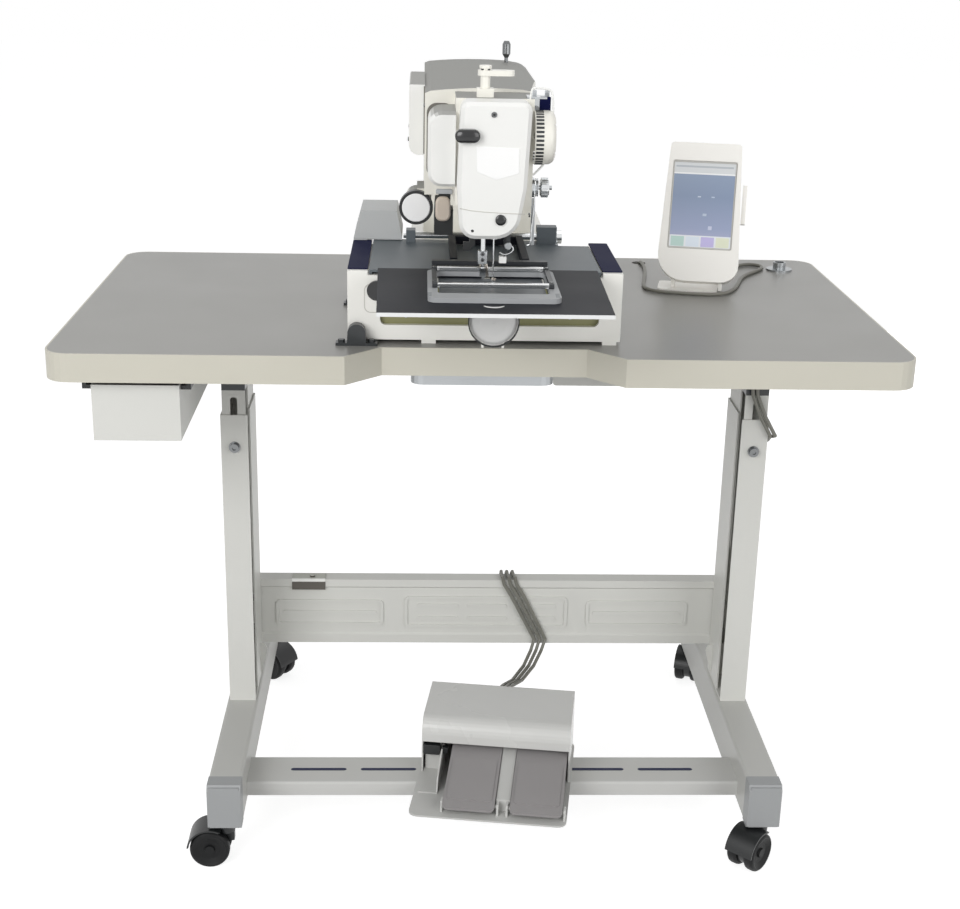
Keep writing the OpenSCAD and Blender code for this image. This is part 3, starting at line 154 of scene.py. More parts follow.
def seen_only(nodes, links):
    """A value that is 1 for camera, glossy and transmitted rays, and 0 for all others."""
    path = nodes.new("ShaderNodeLightPath").outputs
    direct = math_node(nodes, links, "MAXIMUM", path["Is Camera Ray"], path["Is Glossy Ray"])
    return math_node(nodes, links, "MAXIMUM", direct, path["Is Transmission Ray"])


floor_paint, nodes, links = new_material("studio_floor")
nodes.clear()
out = nodes.new("ShaderNodeOutputMaterial")
matt = nodes.new("ShaderNodeBsdfDiffuse")
matt.inputs["Color"].default_value = (FLOOR_TONE, FLOOR_TONE, FLOOR_TONE, 1)
glow = nodes.new("ShaderNodeEmission")
both = nodes.new("ShaderNodeAddShader")
links.new(math_node(nodes, links, "MULTIPLY", seen_only(nodes, links), FLOOR_GLOW),
          glow.inputs["Strength"])
links.new(matt.outputs[0], both.inputs[0])
links.new(glow.outputs[0], both.inputs[1])
links.new(both.outputs[0], out.inputs["Surface"])
bpy.ops.mesh.primitive_plane_add(size=FLOOR_SIZE, location=(0, 0, 0))
floor = bpy.context.object
floor.name = "studio_floor"
floor.data.materials.append(floor_paint)
floor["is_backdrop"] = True

world = bpy.data.worlds.new("studio")
bpy.context.scene.world = world
world.use_nodes = True
nodes, links = world.node_tree.nodes, world.node_tree.links
nodes["Background"].inputs["Color"].default_value = (1, 1, 1, 1)
links.new(ranged(nodes, links, seen_only(nodes, links), to_min=SKY_LIGHT, to_max=SKY_SEEN),
          nodes["Background"].inputs["Strength"])

# %% Lamps
LAMPS = {  # place, aim, size in metres and power in watts
    "key": ((-2.0, -3.0, 2.1), (0, 0, 0.8), 2.2, 78),
    "fill": ((2.4, -2.6, 1.6), (0, 0, 0.7), 2.4, 40),
    "top": ((0.0, 0.4, 3.2), (0, 0, 0.9), 2.4, 12),
    "back": ((1.2, 3.2, 0.6), (0, 0, 0.6), 1.2, 18),
}
for name, (place, aim, size, power) in LAMPS.items():
    lamp = bpy.data.lights.new(name, "AREA")
    lamp.size, lamp.energy = size, power
    softbox = bpy.data.objects.new(name, lamp)
    softbox.location = place
    softbox.rotation_euler = (Vector(aim) - Vector(place)).to_track_quat("-Z", "Y").to_euler()
    softbox.visible_glossy = name != "back"
    bpy.context.collection.objects.link(softbox)
print("studio: one floor,", len(LAMPS), "lamps")

# %% [markdown]
# ## Finishes
# Nearly every piece is painted, moulded or ground, so one builder makes most finishes. A slow
# noise shifts the colour and the gloss a little, as on real paint, and a fine noise gives the
# grain: orange peel on enamel, powder texture on steel, spark marks on moulded plastic.
# All of it reads Object coordinates, because each mesh already lies at its true place.


# %% Colours and noise
def tone(code, shift=1.0):
    """A web colour as linear values, made lighter or darker by shift."""
    channels = [int(code[i:i + 2], 16) / 255 for i in (1, 3, 5)]
    linear = [c / 12.92 if c <= 0.04045 else ((c + 0.055) / 1.055) ** 2.4 for c in channels]
    return tuple(min(1.0, c * shift) for c in linear) + (1.0,)


def noise(nodes, links, place, scale, detail=3.0):
    """A noise value from 0 to 1 at a place."""
    texture = nodes.new("ShaderNodeTexNoise")
    texture.inputs["Scale"].default_value = scale
    texture.inputs["Detail"].default_value = detail
    links.new(place, texture.inputs["Vector"])
    return texture.outputs["Fac"]


def mixed(nodes, links, kind, factor, a, b):
    """A mix node of two colours or two numbers."""
    node = nodes.new("ShaderNodeMix")
    node.data_type = kind
    links.new(factor, node.inputs["Factor"])
    for name, value in (("A", a), ("B", b)):
        socket = [s for s in node.inputs if s.name == name and s.enabled][0]
        if isinstance(value, (tuple, float, int)):
            socket.default_value = value
        else:
            links.new(value, socket)
    return [s for s in node.outputs if s.enabled][0]


# %% [markdown]
# ### Two finishes on one part
# A casting can have white sides and a top darkened by painted shade, and a bracket can carry a
# bright shaft. The mesh of a solid part isn't cut up for that: a mask chooses the finish by the
# place on the part. A mask is a small function that adds nodes, so it can be passed to the finish
# builder.


# %% Masks
def inside_boxes(*boxes):
    """A mask that is 1 inside any of the boxes, each given as lowest and highest corner."""
    def build(nodes, links):
        place = nodes.new("ShaderNodeTexCoord").outputs["Object"]
        split = nodes.new("ShaderNodeSeparateXYZ")
        links.new(place, split.inputs[0])
        total = None
        for low, high in boxes:
            here = None
            for axis in range(3):
                off = math_node(nodes, links, "SUBTRACT", split.outputs[axis],
                                (low[axis] + high[axis]) / 2)
                size = math_node(nodes, links, "ABSOLUTE", off)
                near = math_node(nodes, links, "LESS_THAN", size, (high[axis] - low[axis]) / 2)
                here = near if here is None else math_node(nodes, links, "MULTIPLY", here, near)
            total = here if total is None else math_node(nodes, links, "MAXIMUM", total, here)
        return total
    return build


def facing_up(low=0.55, high=0.8):
    """A mask that is 1 where the surface faces up."""
    def build(nodes, links):
        normal = nodes.new("ShaderNodeNewGeometry").outputs["True Normal"]
        split = nodes.new("ShaderNodeSeparateXYZ")
        links.new(normal, split.inputs[0])
        return ranged(nodes, links, split.outputs["Z"], low, high)
    return build


# %% [markdown]
# ### One builder for all finishes
# A real finish is a base colour, a gloss and a skin, and each of them varies a little. A node
# group could hold this recipe, but a Python function is shorter, and it sets what is constant
# on the shader's own sockets. Each finish is filed under its name.

# %% The finish builder
FINISHES = {}
DRIFT_SCALE, FLECK_EDGE = 9.0, (0.52, 0.68)
GRAIN_DEPTH, COAT_ROUGHNESS = 0.0006, 0.12


def bumped(nodes, links, shader, height, strength, depth):
    """A surface skin from a height, on the shader's normal."""
    bump = nodes.new("ShaderNodeBump")
    bump.inputs["Strength"].default_value = strength
    bump.inputs["Distance"].default_value = depth
    links.new(height, bump.inputs["Height"])
    links.new(bump.outputs["Normal"], shader.inputs["Normal"])


def finish(name, colour, roughness=0.5, metallic=0.0, drift=0.05, grain=(0.08, 900), stretch=(1, 1, 1),
           coat=0.0, gloss_drift=0.06, specular=0.5, fleck=None, zones=()):
    """A material with slow colour drift, gloss drift and a fine bump. grain is the bump's
    strength and scale, fleck adds dots of another tone, and each zone is a mask with the
    colour, roughness and metallic used inside it."""
    FINISHES[name], nodes, links = new_material(name)
    shader = nodes["Principled BSDF"]
    shader.inputs["Metallic"].default_value = metallic
    shader.inputs["Coat Weight"].default_value = coat
    shader.inputs["Coat Roughness"].default_value = COAT_ROUGHNESS
    shader.inputs["Specular IOR Level"].default_value = specular
    place = nodes.new("ShaderNodeTexCoord").outputs["Object"]
    slow = noise(nodes, links, place, DRIFT_SCALE, 4.0)
    colour_out = mixed(nodes, links, "RGBA", slow, tone(colour, 1 - drift), tone(colour, 1 + drift))
    if fleck:
        fleck_tone, fleck_scale, fleck_amount = fleck
        dots = ranged(nodes, links, noise(nodes, links, place, fleck_scale, 2.0), *FLECK_EDGE,
                      to_max=fleck_amount)
        colour_out = mixed(nodes, links, "RGBA", dots, colour_out, tone(fleck_tone))
    mapping = nodes.new("ShaderNodeMapping")
    mapping.inputs["Scale"].default_value = stretch
    links.new(place, mapping.inputs["Vector"])
    fine = noise(nodes, links, mapping.outputs["Vector"], grain[1], 2.0)
    gloss_out = ranged(nodes, links, fine if metallic > 0.5 else slow,
                       to_min=roughness - gloss_drift, to_max=roughness + gloss_drift)
    metal_out = float(metallic)
    for mask, zone_colour, zone_roughness, zone_metallic in zones:
        chosen = mask(nodes, links)
        colour_out = mixed(nodes, links, "RGBA", chosen, colour_out, tone(zone_colour))
        gloss_out = mixed(nodes, links, "FLOAT", chosen, gloss_out, zone_roughness)
        if zone_metallic != metallic or not isinstance(metal_out, float):
            metal_out = mixed(nodes, links, "FLOAT", chosen, metal_out, float(zone_metallic))
            links.new(metal_out, shader.inputs["Metallic"])
    links.new(colour_out, shader.inputs["Base Color"])
    links.new(gloss_out, shader.inputs["Roughness"])
    bumped(nodes, links, shader, fine, grain[0], GRAIN_DEPTH)

# %% [markdown]
# ### Paint and enamel
# The stand is powder coated, which leaves a fine pebbled skin, and the head's castings are
# sprayed with a smooth enamel that has a slight orange peel. Each could be a scanned texture,
# but noise at the true grain size stays sharp at any distance. The tops of the arm and its
# covers get a grey zone of the same finish, which is painted shade on the white enamel.

# %% Paint and enamel
finish("powder_coat", "#d6d6d1", 0.42, drift=0.03, grain=(0.22, 1100))
# Two darker copies of the same powder coat: painted shade on the foot beam, and deeper painted shade on
# the feet.
finish("powder_coat_shaded", "#cbcbc8", 0.46, drift=0.03, grain=(0.22, 1100))
finish("powder_coat_deeper_shade", "#bfbfbb", 0.44, drift=0.03, grain=(0.22, 1100))
finish("enamel", "#f3f2ec", 0.3, drift=0.02, grain=(0.05, 260), coat=0.35)
finish("cream_enamel", "#f1efe6", 0.33, drift=0.02, grain=(0.05, 260), coat=0.3)
# The grey up-facing zone of these two enamels is painted shade on the tops of white paint.
finish("arm_enamel", "#edebe2", 0.36, drift=0.02, grain=(0.05, 260),
       zones=[(facing_up(), "#8e8e8a", 0.6, 0.0)])
finish("cover_enamel", "#f1f1ee", 0.34, drift=0.015, grain=(0.04, 400),
       zones=[(facing_up(), "#999995", 0.55, 0.0)])
finish("navy_paint", "#0c1034", 0.55, drift=0.1, grain=(0.08, 700), specular=0.05)
# The slot colour is painted shade for the hollow inside the foot beam's slots.
finish("slot_shade_navy", "#1d2345", 0.5, drift=0.08, grain=(0.05, 900))
finish("olive_plate", "#85845c", 0.4, drift=0.05, grain=(0.1, 900))
finish("hook_grey", "#dededc", 0.3, drift=0.05, grain=(0.08, 700), coat=0.2)
finish("cover_grey", "#b3b5b5", 0.42, drift=0.04, grain=(0.12, 1400))
finish("hood_grey", "#cfcfcc", 0.27, drift=0.03, grain=(0.1, 1200), coat=0.25)
finish("base_grey", "#c6c6c3", 0.4, drift=0.03, grain=(0.14, 1200))
print(len(FINISHES), "painted finishes")

# %% [markdown]
# ### Plastic, laminate and rubber
# Moulded parts show the spark marks of their mould, and the table's laminate is printed with a
# fine fleck. Rubber and gaskets are duller. Only the grain's size and depth and the gloss tell
# these finishes apart, so they are rows of numbers and not materials built one by one.

# %% Plastic, laminate and rubber
finish("grey_cap", "#9fa1a2", 0.5, drift=0.04, grain=(0.15, 1500))
finish("white_plastic", "#f0f0ed", 0.3, drift=0.015, grain=(0.04, 1800))
# The pulley's white is the white plastic made lighter: painted light on a face that sits in shade.
finish("pulley_white_painted_light", "#fbfbfb", 0.24, drift=0.01, grain=(0.02, 1800), coat=0.2)
finish("badge_white", "#fbfbfa", 0.22, drift=0.01, grain=(0.02, 1400), coat=0.4)
finish("panel_shell", "#f8f6f1", 0.38, drift=0.02, grain=(0.1, 1600))
finish("beige_plastic", "#cfc2b4", 0.34, drift=0.04, grain=(0.06, 1500))
finish("black_plastic", "#1b1d1e", 0.36, drift=0.15, grain=(0.12, 1700))
finish("glossy_black", "#17181a", 0.2, drift=0.1, grain=(0.02, 900), coat=0.3)
finish("laminate", "#8d8c88", 0.32, drift=0.03, grain=(0.1, 1500), fleck=("#8f8e89", 900, 0.5))
finish("edge_strip", "#c9c6b9", 0.4, drift=0.03, grain=(0.12, 1300))
finish("treadle_grey", "#979494", 0.6, drift=0.05, grain=(0.5, 1000))
finish("wheel_tread", "#0d0e0f", 0.5, drift=0.15, grain=(0.2, 1500), specular=0.25)
finish("grip_rubber", "#8d9092", 0.6, drift=0.06, grain=(0.3, 1500))
finish("gasket_grey", "#bdbcb8", 0.5, drift=0.05, grain=(0.2, 1600))
# The dark reveal colour is painted shade for the gaps round the head's covers.
finish("reveal_shade_dark", "#6d6a63", 0.6, drift=0.08, grain=(0.2, 1600))
finish("seam_shadow", "#c9c7c0", 0.5, drift=0.03, grain=(0.05, 900))
finish("cable_jacket", "#76756d", 0.46, drift=0.08, grain=(0.08, 900))
print("with plastics:", len(FINISHES))

# %% [markdown]
# ### Metal
# Plated bars are nearly mirrors, ground steel has fine lines along one axis, and the feed plates
# are blackened. Bright bars, a pale strip along the feed plate's front edge and the grey work
# frame belong to solids that are otherwise dark. They could be cut off as pieces of their own,
# but boxes as masks keep each solid whole. The spring clip's lighter top is painted light, and
# the white band along its fold is a painted highlight.

# %% Metal
window = (at(-82, -123, 905.55), at(90, 47, 913))
front_lip = (at(-160, -178, 900), at(170, -176.6, 906))
front_bar = (at(-68, -68, 911), at(76, -60, 920))
rear_bar = (at(-68, 32, 911), at(76, 40, 920))
shaft_line = (at(-117, 278, 905.9), at(123, 292, 919))
shaft_end = (at(113, 270, 900), at(123, 300, 925))
needle_hole = (at(-6, -18, 902.95), at(18, 6, 906))
# The clip's painted highlight is a band on its front face from the fold line up.
CLIP_FOLD, CLIP_HIGHLIGHT_DEPTH, AROUND = 0.0145, 0.003, 0.01
clip_low, clip_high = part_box("beam_clip")
clip_fold_highlight = inside_boxes((clip_low + Vector((-AROUND, -AROUND, CLIP_FOLD)),
                          (clip_high.x + AROUND, clip_low.y + CLIP_HIGHLIGHT_DEPTH, clip_high.z)))
finish("chrome", "#dfe1e2", 0.1, 1.0, drift=0.02, grain=(0.02, 300), gloss_drift=0.03)
finish("warm_chrome", "#d8d0c6", 0.16, 1.0, drift=0.04, grain=(0.04, 300), gloss_drift=0.03)
finish("dark_chrome", "#7a7c7d", 0.2, 1.0, drift=0.05, grain=(0.03, 400))
finish("zinc", "#a9acae", 0.34, 1.0, drift=0.08, grain=(0.1, 700))
finish("ground_steel", "#c3c6c8", 0.24, 1.0, drift=0.05, grain=(0.1, 500), stretch=(1, 0.06, 1))
finish("black_steel", "#2b2e30", 0.36, drift=0.12, grain=(0.12, 900), coat=0.1)
# The spring clip's lighter up-facing zone is painted light on its top, and the white band along its
# fold is a painted highlight.
finish("spring_clip", "#5c5852", 0.36, 0.2, drift=0.08, grain=(0.1, 700),
       zones=[(facing_up(), "#b7b8ae", 0.4, 0.0), (clip_fold_highlight, "#f0f0ec", 0.3, 0.0)])
finish("clamp_steel", "#2f3134", 0.36, 0.0, drift=0.1, grain=(0.1, 700),
       zones=[(inside_boxes(front_bar, rear_bar), "#e9eaea", 0.16, 1.0)])
finish("plate_black", "#12141b", 0.5, drift=0.1, grain=(0.14, 1200), specular=0.14,
       zones=[(inside_boxes(window), "#a7a9ab", 0.4, 0.0),
              (inside_boxes(front_lip), "#e3e4e4", 0.3, 0.3)])
finish("plate_grey", "#596065", 0.44, drift=0.05, grain=(0.12, 1200),
       zones=[(inside_boxes(shaft_line, shaft_end), "#dfe1e2", 0.14, 1.0)])
finish("throat_steel", "#63676b", 0.36, 0.2, drift=0.08, grain=(0.1, 800),
       zones=[(inside_boxes(needle_hole), "#d9dbdc", 0.2, 1.0)])
print("all finishes:", len(FINISHES))

# %% [markdown]
# ## The panel's cord
# The one loose cord leaves the rear of the panel's bracket, lies in a loop on the table, passes
# in front of the bracket and goes down through a hole. Its route is the same as that of the
# solid part: listed points, joined by a smooth curve. It could be a curve with a bevel,
# but a mesh tube has closed ends and an even skin. It is swept along the route with frames
# that are carried from ring to ring, so that it doesn't twist.


# %% Tubes
def smooth_route(points, steps=2):
    """Catmull-Rom points through the given ones, steps from each to the next."""
    last, result = len(points) - 1, []
    for i in range(last):
        a, b = points[max(i - 1, 0)], points[i]
        c, d = points[i + 1], points[min(i + 2, last)]
        for k in range(steps):
            t = k / steps
            result.append(0.5 * (2 * b + (c - a) * t + (2 * a - 5 * b + 4 * c - d) * t * t
                                 + (3 * b - a - 3 * c + d) * t ** 3))
    return result + [points[last]]


def carried_sides(path):
    """A direction square to the path at each point, carried along it without twist."""
    sides, side = [], Vector((0, 0, 1))
    for i in range(len(path)):
        along = (path[min(i + 1, len(path) - 1)] - path[max(i - 1, 0)]).normalized()
        side = (side - side.dot(along) * along).normalized()
        sides.append((along, side))
    return sides


def finished(name, vertices, faces, finish_name, body, bevel=0.0, smooth=40):
    """A closed mesh with a finish, outward normals and a softened edge, riding on a body."""
    mesh = bpy.data.meshes.new(name)
    mesh.from_pydata([tuple(v) for v in vertices], [], faces)
    work = bmesh.new()
    work.from_mesh(mesh)
    bmesh.ops.recalc_face_normals(work, faces=work.faces)
    work.to_mesh(mesh)
    work.free()
    mesh.materials.append(FINISHES[finish_name])
    piece = bpy.data.objects.new(name, mesh)
    bpy.context.collection.objects.link(piece)
    if bevel:
        edge = piece.modifiers.new("softened edge", "BEVEL")
        edge.width = bevel * MM
        edge.segments = 2
        edge.limit_method = "ANGLE"
        edge.angle_limit = radians(40)
    mesh.shade_smooth()
    mesh.set_sharp_from_angle(angle=radians(smooth))
    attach(piece, body)
    return piece


def stitched(sides, pairs):
    """The faces between pairs of rows of points, where each row is a closed ring."""
    return [(a * sides + k, a * sides + (k + 1) % sides, b * sides + (k + 1) % sides, b * sides + k)
            for a, b in pairs for k in range(sides)]


def skin(sides, rows, ends=2):
    """The faces of a form made of rows of points, with a flat face at its first and last row.
    With ends=1 the last row stays open."""
    faces = stitched(sides, [(i, i + 1) for i in range(rows - 1)])
    return faces + [tuple(row * sides + k for k in range(sides)) for row in (0, rows - 1)[:ends]]


def tube(name, path, radius, finish_name, body, sides=10):
    """A tube with closed ends along a path. Its radius is in millimetres."""
    vertices = []
    for centre, (along, side) in zip(path, carried_sides(path)):
        other = along.cross(side)
        vertices += [centre + radius * MM * (cos(tau * k / sides) * side + sin(tau * k / sides) * other)
                     for k in range(sides)]
    return finished(name, vertices, skin(sides, len(path)), finish_name, body)


def wire(name, points, radius, finish_name, body, steps=3, sides=8):
    """A bent rod through points, each given as across, backwards and up."""
    route = smooth_route([at(*point) for point in points], steps)
    return tube(name, route, radius, finish_name, body, sides)


# %% The cord
CORD_Z = 803.3
CORD_ROUTE = [
    (395.6, 458.6, 0), (398.1, 470.3, 0), (402, 492, 0), (410, 516, 0), (421, 541, 0), (434, 566, 0),
    (449, 590, 0), (465, 609, 0), (483, 618, 0), (499, 608, 0), (500, 590, 0), (488, 569, 0),
    (473, 549, 0), (459, 529, 0), (448, 507, 0), (440, 483, 0), (432, 458, 0), (423, 433, 0),
    (411, 409, 0), (397, 391, 0), (377, 384, 0), (354, 385, 0), (330, 390, 0), (306, 396, 0),
    (287, 405, 0), (276, 422, 0), (275, 446, 0), (279, 474, 0), (284, 504, 0), (289, 534, 0),
    (293, 564, 0), (295, 592, 0.3), (294.5, 612, 0.6), (293.5, 624, 0.2), (292.5, 631, -4),
    (292, 634, -12), (292, 635, -24),
]
cord_path = smooth_route([at(x, back, CORD_Z + z) for x, back, z in CORD_ROUTE])
cord_length = sum((b - a).length for a, b in zip(cord_path, cord_path[1:]))
panel_lead = tube("panel_lead", cord_path, 3.0, "cable_jacket", "table", sides=12)
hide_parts("panel_cord")
tuple(cord_path[1])
print("cord:", round(cord_length, 3), "m")

# %% [markdown]
# ## Finishes on the solid parts
# Each solid part already has its shape, so it only changes its material. Each could be dressed
# where its details are made, but one table shows at a glance that none is forgotten. It is
# sorted by finish, as a workshop sorts the parts for paint, moulding and plating.

# %% Which part gets which finish
DRESS = {
    "powder_coat": "columns inner_columns cross_beam drawer control_box",
    # The two darker powder coats below are painted shade on the lower stand parts.
    "powder_coat_shaded": "foot_beam",
    "powder_coat_deeper_shade": "feet",
    "grey_cap": "foot_end_caps",
    "enamel": "bed_casting",
    "cream_enamel": "take_up_guard winder_post winder_lever",
    "arm_enamel": "arm_casting",
    "cover_enamel": "left_cover side_cover",
    "white_plastic": "face_cover hand_knob",
    "laminate": "table_top",
    "edge_strip": "edge_band",
    "black_plastic": "caster_fl caster_fr caster_rl caster_rr drawer_runners",
    "glossy_black": "cover_knobs",
    "wheel_tread": "wheels_fl wheels_fr wheels_rl wheels_rr",
    "black_steel": "table_brackets hinge_blocks",
    "navy_paint": "bed_side_panels",
    "olive_plate": "front_sill",
    "ground_steel": "hook_assembly bobbin_case tension_unit",
    "clamp_steel": "work_clamp",
    "throat_steel": "needle_plate",
    "hook_grey": "hook_cover",
    "chrome": "needle_bar presser_foot take_up_lever tension_knob",
    "dark_chrome": "guide_post stand_bolts",
    "zinc": "thread_stand_socket oil_pan",
    "spring_clip": "beam_clip",
    "plate_black": "feed_plate",
    "plate_grey": "feed_carriage",
    "cover_grey": "rear_cover",
    "hood_grey": "pedal_hood",
    "base_grey": "pedal_base",
    "treadle_grey": "treadle_left treadle_right",
    "panel_shell": "panel_case panel_bracket",
    "cable_jacket": "pedal_cable riser_cable panel_cord",
}
for finish_name, node_names in DRESS.items():
    for node_name in node_names.split():
        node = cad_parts[node_name]
        node.data.materials.clear()
        node.data.materials.append(FINISHES[finish_name])
undressed = set(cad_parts) - {n for names in DRESS.values() for n in names.split()}
print("solid parts without a finish yet:", sorted(undressed))

# %% [markdown]
# ## Tools for the fine parts
# Most small parts are either a plate cut to an outline or a turned part. A plate is given by a
# flat outline and two heights, and a turned part by its radius at each height. Both take a
# placement: a function from flat numbers to a place on the machine, so that the same helper
# makes a badge on the front, a cover on the side and a button on the tilted panel.


# %% Placements
def facing_front(back):
    """Across, up and outwards from an upright plane that faces the operator."""
    return lambda u, v, w: at(u, back - w, v)


def lying(z):
    """Across, backwards and up from a level plane."""
    return lambda u, v, w: at(u, v, z + w)


def within(matrix):
    """Millimetres in a turned frame."""
    return lambda x, y, z: matrix @ (Vector((x, y, z)) * MM)


PEDAL_TURN, PANEL_TURN, PANEL_LEAN = radians(-8.3), radians(-12), radians(-20)
PANEL_FACE = -18
pedal_frame = Matrix.Translation(at(32, 83, 100)) @ Matrix.Rotation(PEDAL_TURN, 4, "Z")
panel_frame = (Matrix.Translation(at(355, 412, 800)) @ Matrix.Rotation(PANEL_TURN, 4, "Z")
               @ Matrix.Translation(Vector((0, 18, 30)) * MM) @ Matrix.Rotation(PANEL_LEAN, 4, "X"))
pedal, panel_inner = within(pedal_frame), within(panel_frame)


def on_panel(depth):
    """Across, up and outwards from a plane in the operation panel, depth behind its face."""
    return lambda u, v, w: panel_inner(u, PANEL_FACE + depth - w, v)


# %% Plates and turned parts
def rounded(x0, x1, y0, y1, r, steps=5):
    """A rectangle's outline with round corners, anticlockwise."""
    corners = ((x1 - r, y1 - r, 0), (x0 + r, y1 - r, 90), (x0 + r, y0 + r, 180), (x1 - r, y0 + r, 270))
    return [(cx + r * cos(radians(start + 90 * k / steps)),
             cy + r * sin(radians(start + 90 * k / steps)))
            for cx, cy, start in corners for k in range(steps + 1)]


def round_outline(x, y, r, steps=32):
    """A circle's outline, anticlockwise."""
    return [(x + r * cos(tau * k / steps), y + r * sin(tau * k / steps)) for k in range(steps)]


def plate(name, outline, place, low, high, finish_name, body, bevel=0.4):
    """An outline with a thickness, from low to high above its placement."""
    vertices = [place(u, v, w) for w in (low, high) for u, v in outline]
    return finished(name, vertices, skin(len(outline), 2), finish_name, body, bevel)


def ring_plate(name, outer, inner, place, low, high, finish_name, body, bevel=0.3):
    """A flat ring between two outlines with the same number of points."""
    vertices = [place(u, v, w) for w in (low, high) for line in (outer, inner) for u, v in line]
    faces = stitched(len(outer), [(0, 1), (2, 3), (0, 2), (1, 3)])
    return finished(name, vertices, faces, finish_name, body, bevel)


def domed(name, outline, place, height, finish_name, body, rings=7):
    """A cushion-like form on a flat outline, as on a moulded catch or plug."""
    count = len(outline)
    cx, cy = sum(u for u, _ in outline) / count, sum(v for _, v in outline) / count
    vertices, top = [], (rings - 1) * count
    for j in range(rings):
        t = j / rings * pi / 2
        vertices += [place(cx + (u - cx) * cos(t), cy + (v - cy) * cos(t), height * sin(t))
                     for u, v in outline]
    vertices.append(place(cx, cy, height))
    faces = [(top + i, top + (i + 1) % count, top + count) for i in range(count)]
    return finished(name, vertices, skin(count, rings, 1) + faces, finish_name, body, smooth=60)


def turned(name, profile, place, finish_name, body, centre=(0, 0), sides=32):
    """A turned part: its profile is rows of radius and height, from one end to the other."""
    vertices = [place(u, v, w) for r, w in profile for u, v in round_outline(*centre, r, sides)]
    return finished(name, vertices, skin(sides, len(profile)), finish_name, body)


print("helpers ready")

# %% [markdown]
# ## What repeats
# Screws, knurls and grip ribs are the same small form many times. Geometry Nodes place one form
# on points, so that a change of one form changes them all. Each tree has named inputs, ends in
# real geometry with its material, and is turned into a plain mesh for each body.


# %% A tree and its piece
def new_tree(name, **sockets):
    """An empty tree with named inputs. Returns it, its inputs and a function that adds nodes."""
    tree = bpy.data.node_groups.new(name, "GeometryNodeTree")
    for label, kind in (("Geometry", "Geometry"), *sockets.items()):
        tree.interface.new_socket(label, in_out="INPUT", socket_type="NodeSocket" + kind)
    tree.interface.new_socket("Geometry", in_out="OUTPUT", socket_type="NodeSocketGeometry")
    given = tree.nodes.new("NodeGroupInput")

    def add(kind, *wires, **settings):
        """A node's first output. wires are input names or numbers with what goes into them."""
        node = tree.nodes.new(kind)
        for key, value in settings.items():
            setattr(node, key, value)
        for key, value in wires:
            if isinstance(value, bpy.types.NodeSocket):
                tree.links.new(value, node.inputs[key])
            else:
                node.inputs[key].default_value = value
        return node.outputs[0] if node.outputs else None

    return tree, given.outputs, add


def coated_copies(add, form, points, material, *more):
    """The end of each tree: copies of a form on points, made real and given a material."""
    copies = add("GeometryNodeInstanceOnPoints", ("Points", points), ("Instance", form), *more)
    real = add("GeometryNodeRealizeInstances", ("Geometry", copies))
    return add("GeometryNodeSetMaterial", ("Geometry", real), ("Material", material))


def grown(name, tree, mesh, settings, body, matrix=None):
    """A plain piece from a tree. settings are its inputs by name, set before it is evaluated."""
    carrier = bpy.data.objects.new(name, mesh)
    bpy.context.collection.objects.link(carrier)
    modifier = carrier.modifiers.new(name, "NODES")
    modifier.node_group = tree
    for item in tree.interface.items_tree:
        if item.item_type == "SOCKET" and item.in_out == "INPUT" and item.name in settings:
            modifier[item.identifier] = settings[item.name]
    made = bpy.data.meshes.new_from_object(carrier.evaluated_get(bpy.context.evaluated_depsgraph_get()))
    carrier.modifiers.clear()
    carrier.data = made
    if matrix:
        made.transform(matrix)
    made.shade_smooth()
    made.set_sharp_from_angle(angle=radians(35))
    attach(carrier, body)
    return carrier


# %% [markdown]
# ### Screws
# A socket-head screw is a short cylinder with a chamfered rim and a dark hexagon. Each could be
# turned by hand, but one tree places a unit screw on every point. The points carry the
# direction that a screw faces and its radius as attributes, and the hexagon's faces carry a
# mark, so that the tree can end in one material for the metal and one for the hollow.

# %% Screw tree
SCREW_SIDES, RIM_TOP, RIM_HEIGHT = 24, 0.82, 0.18
HOLLOW_DEPTH, HOLLOW_UP = 0.1, 0.145
screw_tree, given, add = new_tree("screws", Height="Float", Socket="Float", Metal="Material",
                                  Shadow="Material")
shank = add("GeometryNodeMeshCylinder", ("Vertices", SCREW_SIDES), ("Radius", 1.0),
            ("Depth", given["Height"]))
height_up = add("ShaderNodeCombineXYZ", ("Z", given["Height"]))
half_up = add("ShaderNodeVectorMath", (0, height_up), ("Scale", 0.5), operation="SCALE")
rim = add("GeometryNodeMeshCone", ("Vertices", SCREW_SIDES), ("Radius Top", RIM_TOP),
          ("Radius Bottom", 1.0), ("Depth", RIM_HEIGHT))
rim_placed = add("GeometryNodeTransform", ("Geometry", rim), ("Translation", half_up))
hexagon = add("GeometryNodeMeshCylinder", ("Vertices", 6), ("Radius", given["Socket"]),
              ("Depth", HOLLOW_DEPTH))
hexagon_up = add("ShaderNodeVectorMath", (0, half_up), (1, (0, 0, HOLLOW_UP)), operation="ADD")
hexagon_placed = add("GeometryNodeTransform", ("Geometry", hexagon), ("Translation", hexagon_up))
marked = add("GeometryNodeStoreNamedAttribute", ("Geometry", hexagon_placed), ("Name", "hollow"),
             ("Value", True), data_type="BOOLEAN", domain="FACE")
form = add("GeometryNodeJoinGeometry", (0, marked), (0, rim_placed), (0, shank))
facing = add("GeometryNodeInputNamedAttribute", ("Name", "facing"), data_type="FLOAT_VECTOR")
size = add("GeometryNodeInputNamedAttribute", ("Name", "size"), data_type="FLOAT")
turn = add("FunctionNodeAlignRotationToVector", ("Vector", facing), axis="Z")
metal = coated_copies(add, form, given["Geometry"], given["Metal"], ("Rotation", turn), ("Scale", size))
hollow = add("GeometryNodeInputNamedAttribute", ("Name", "hollow"), data_type="BOOLEAN")
finished_screws = add("GeometryNodeSetMaterial", ("Geometry", metal), ("Selection", hollow),
                      ("Material", given["Shadow"]))
add("NodeGroupOutput", ("Geometry", finished_screws))


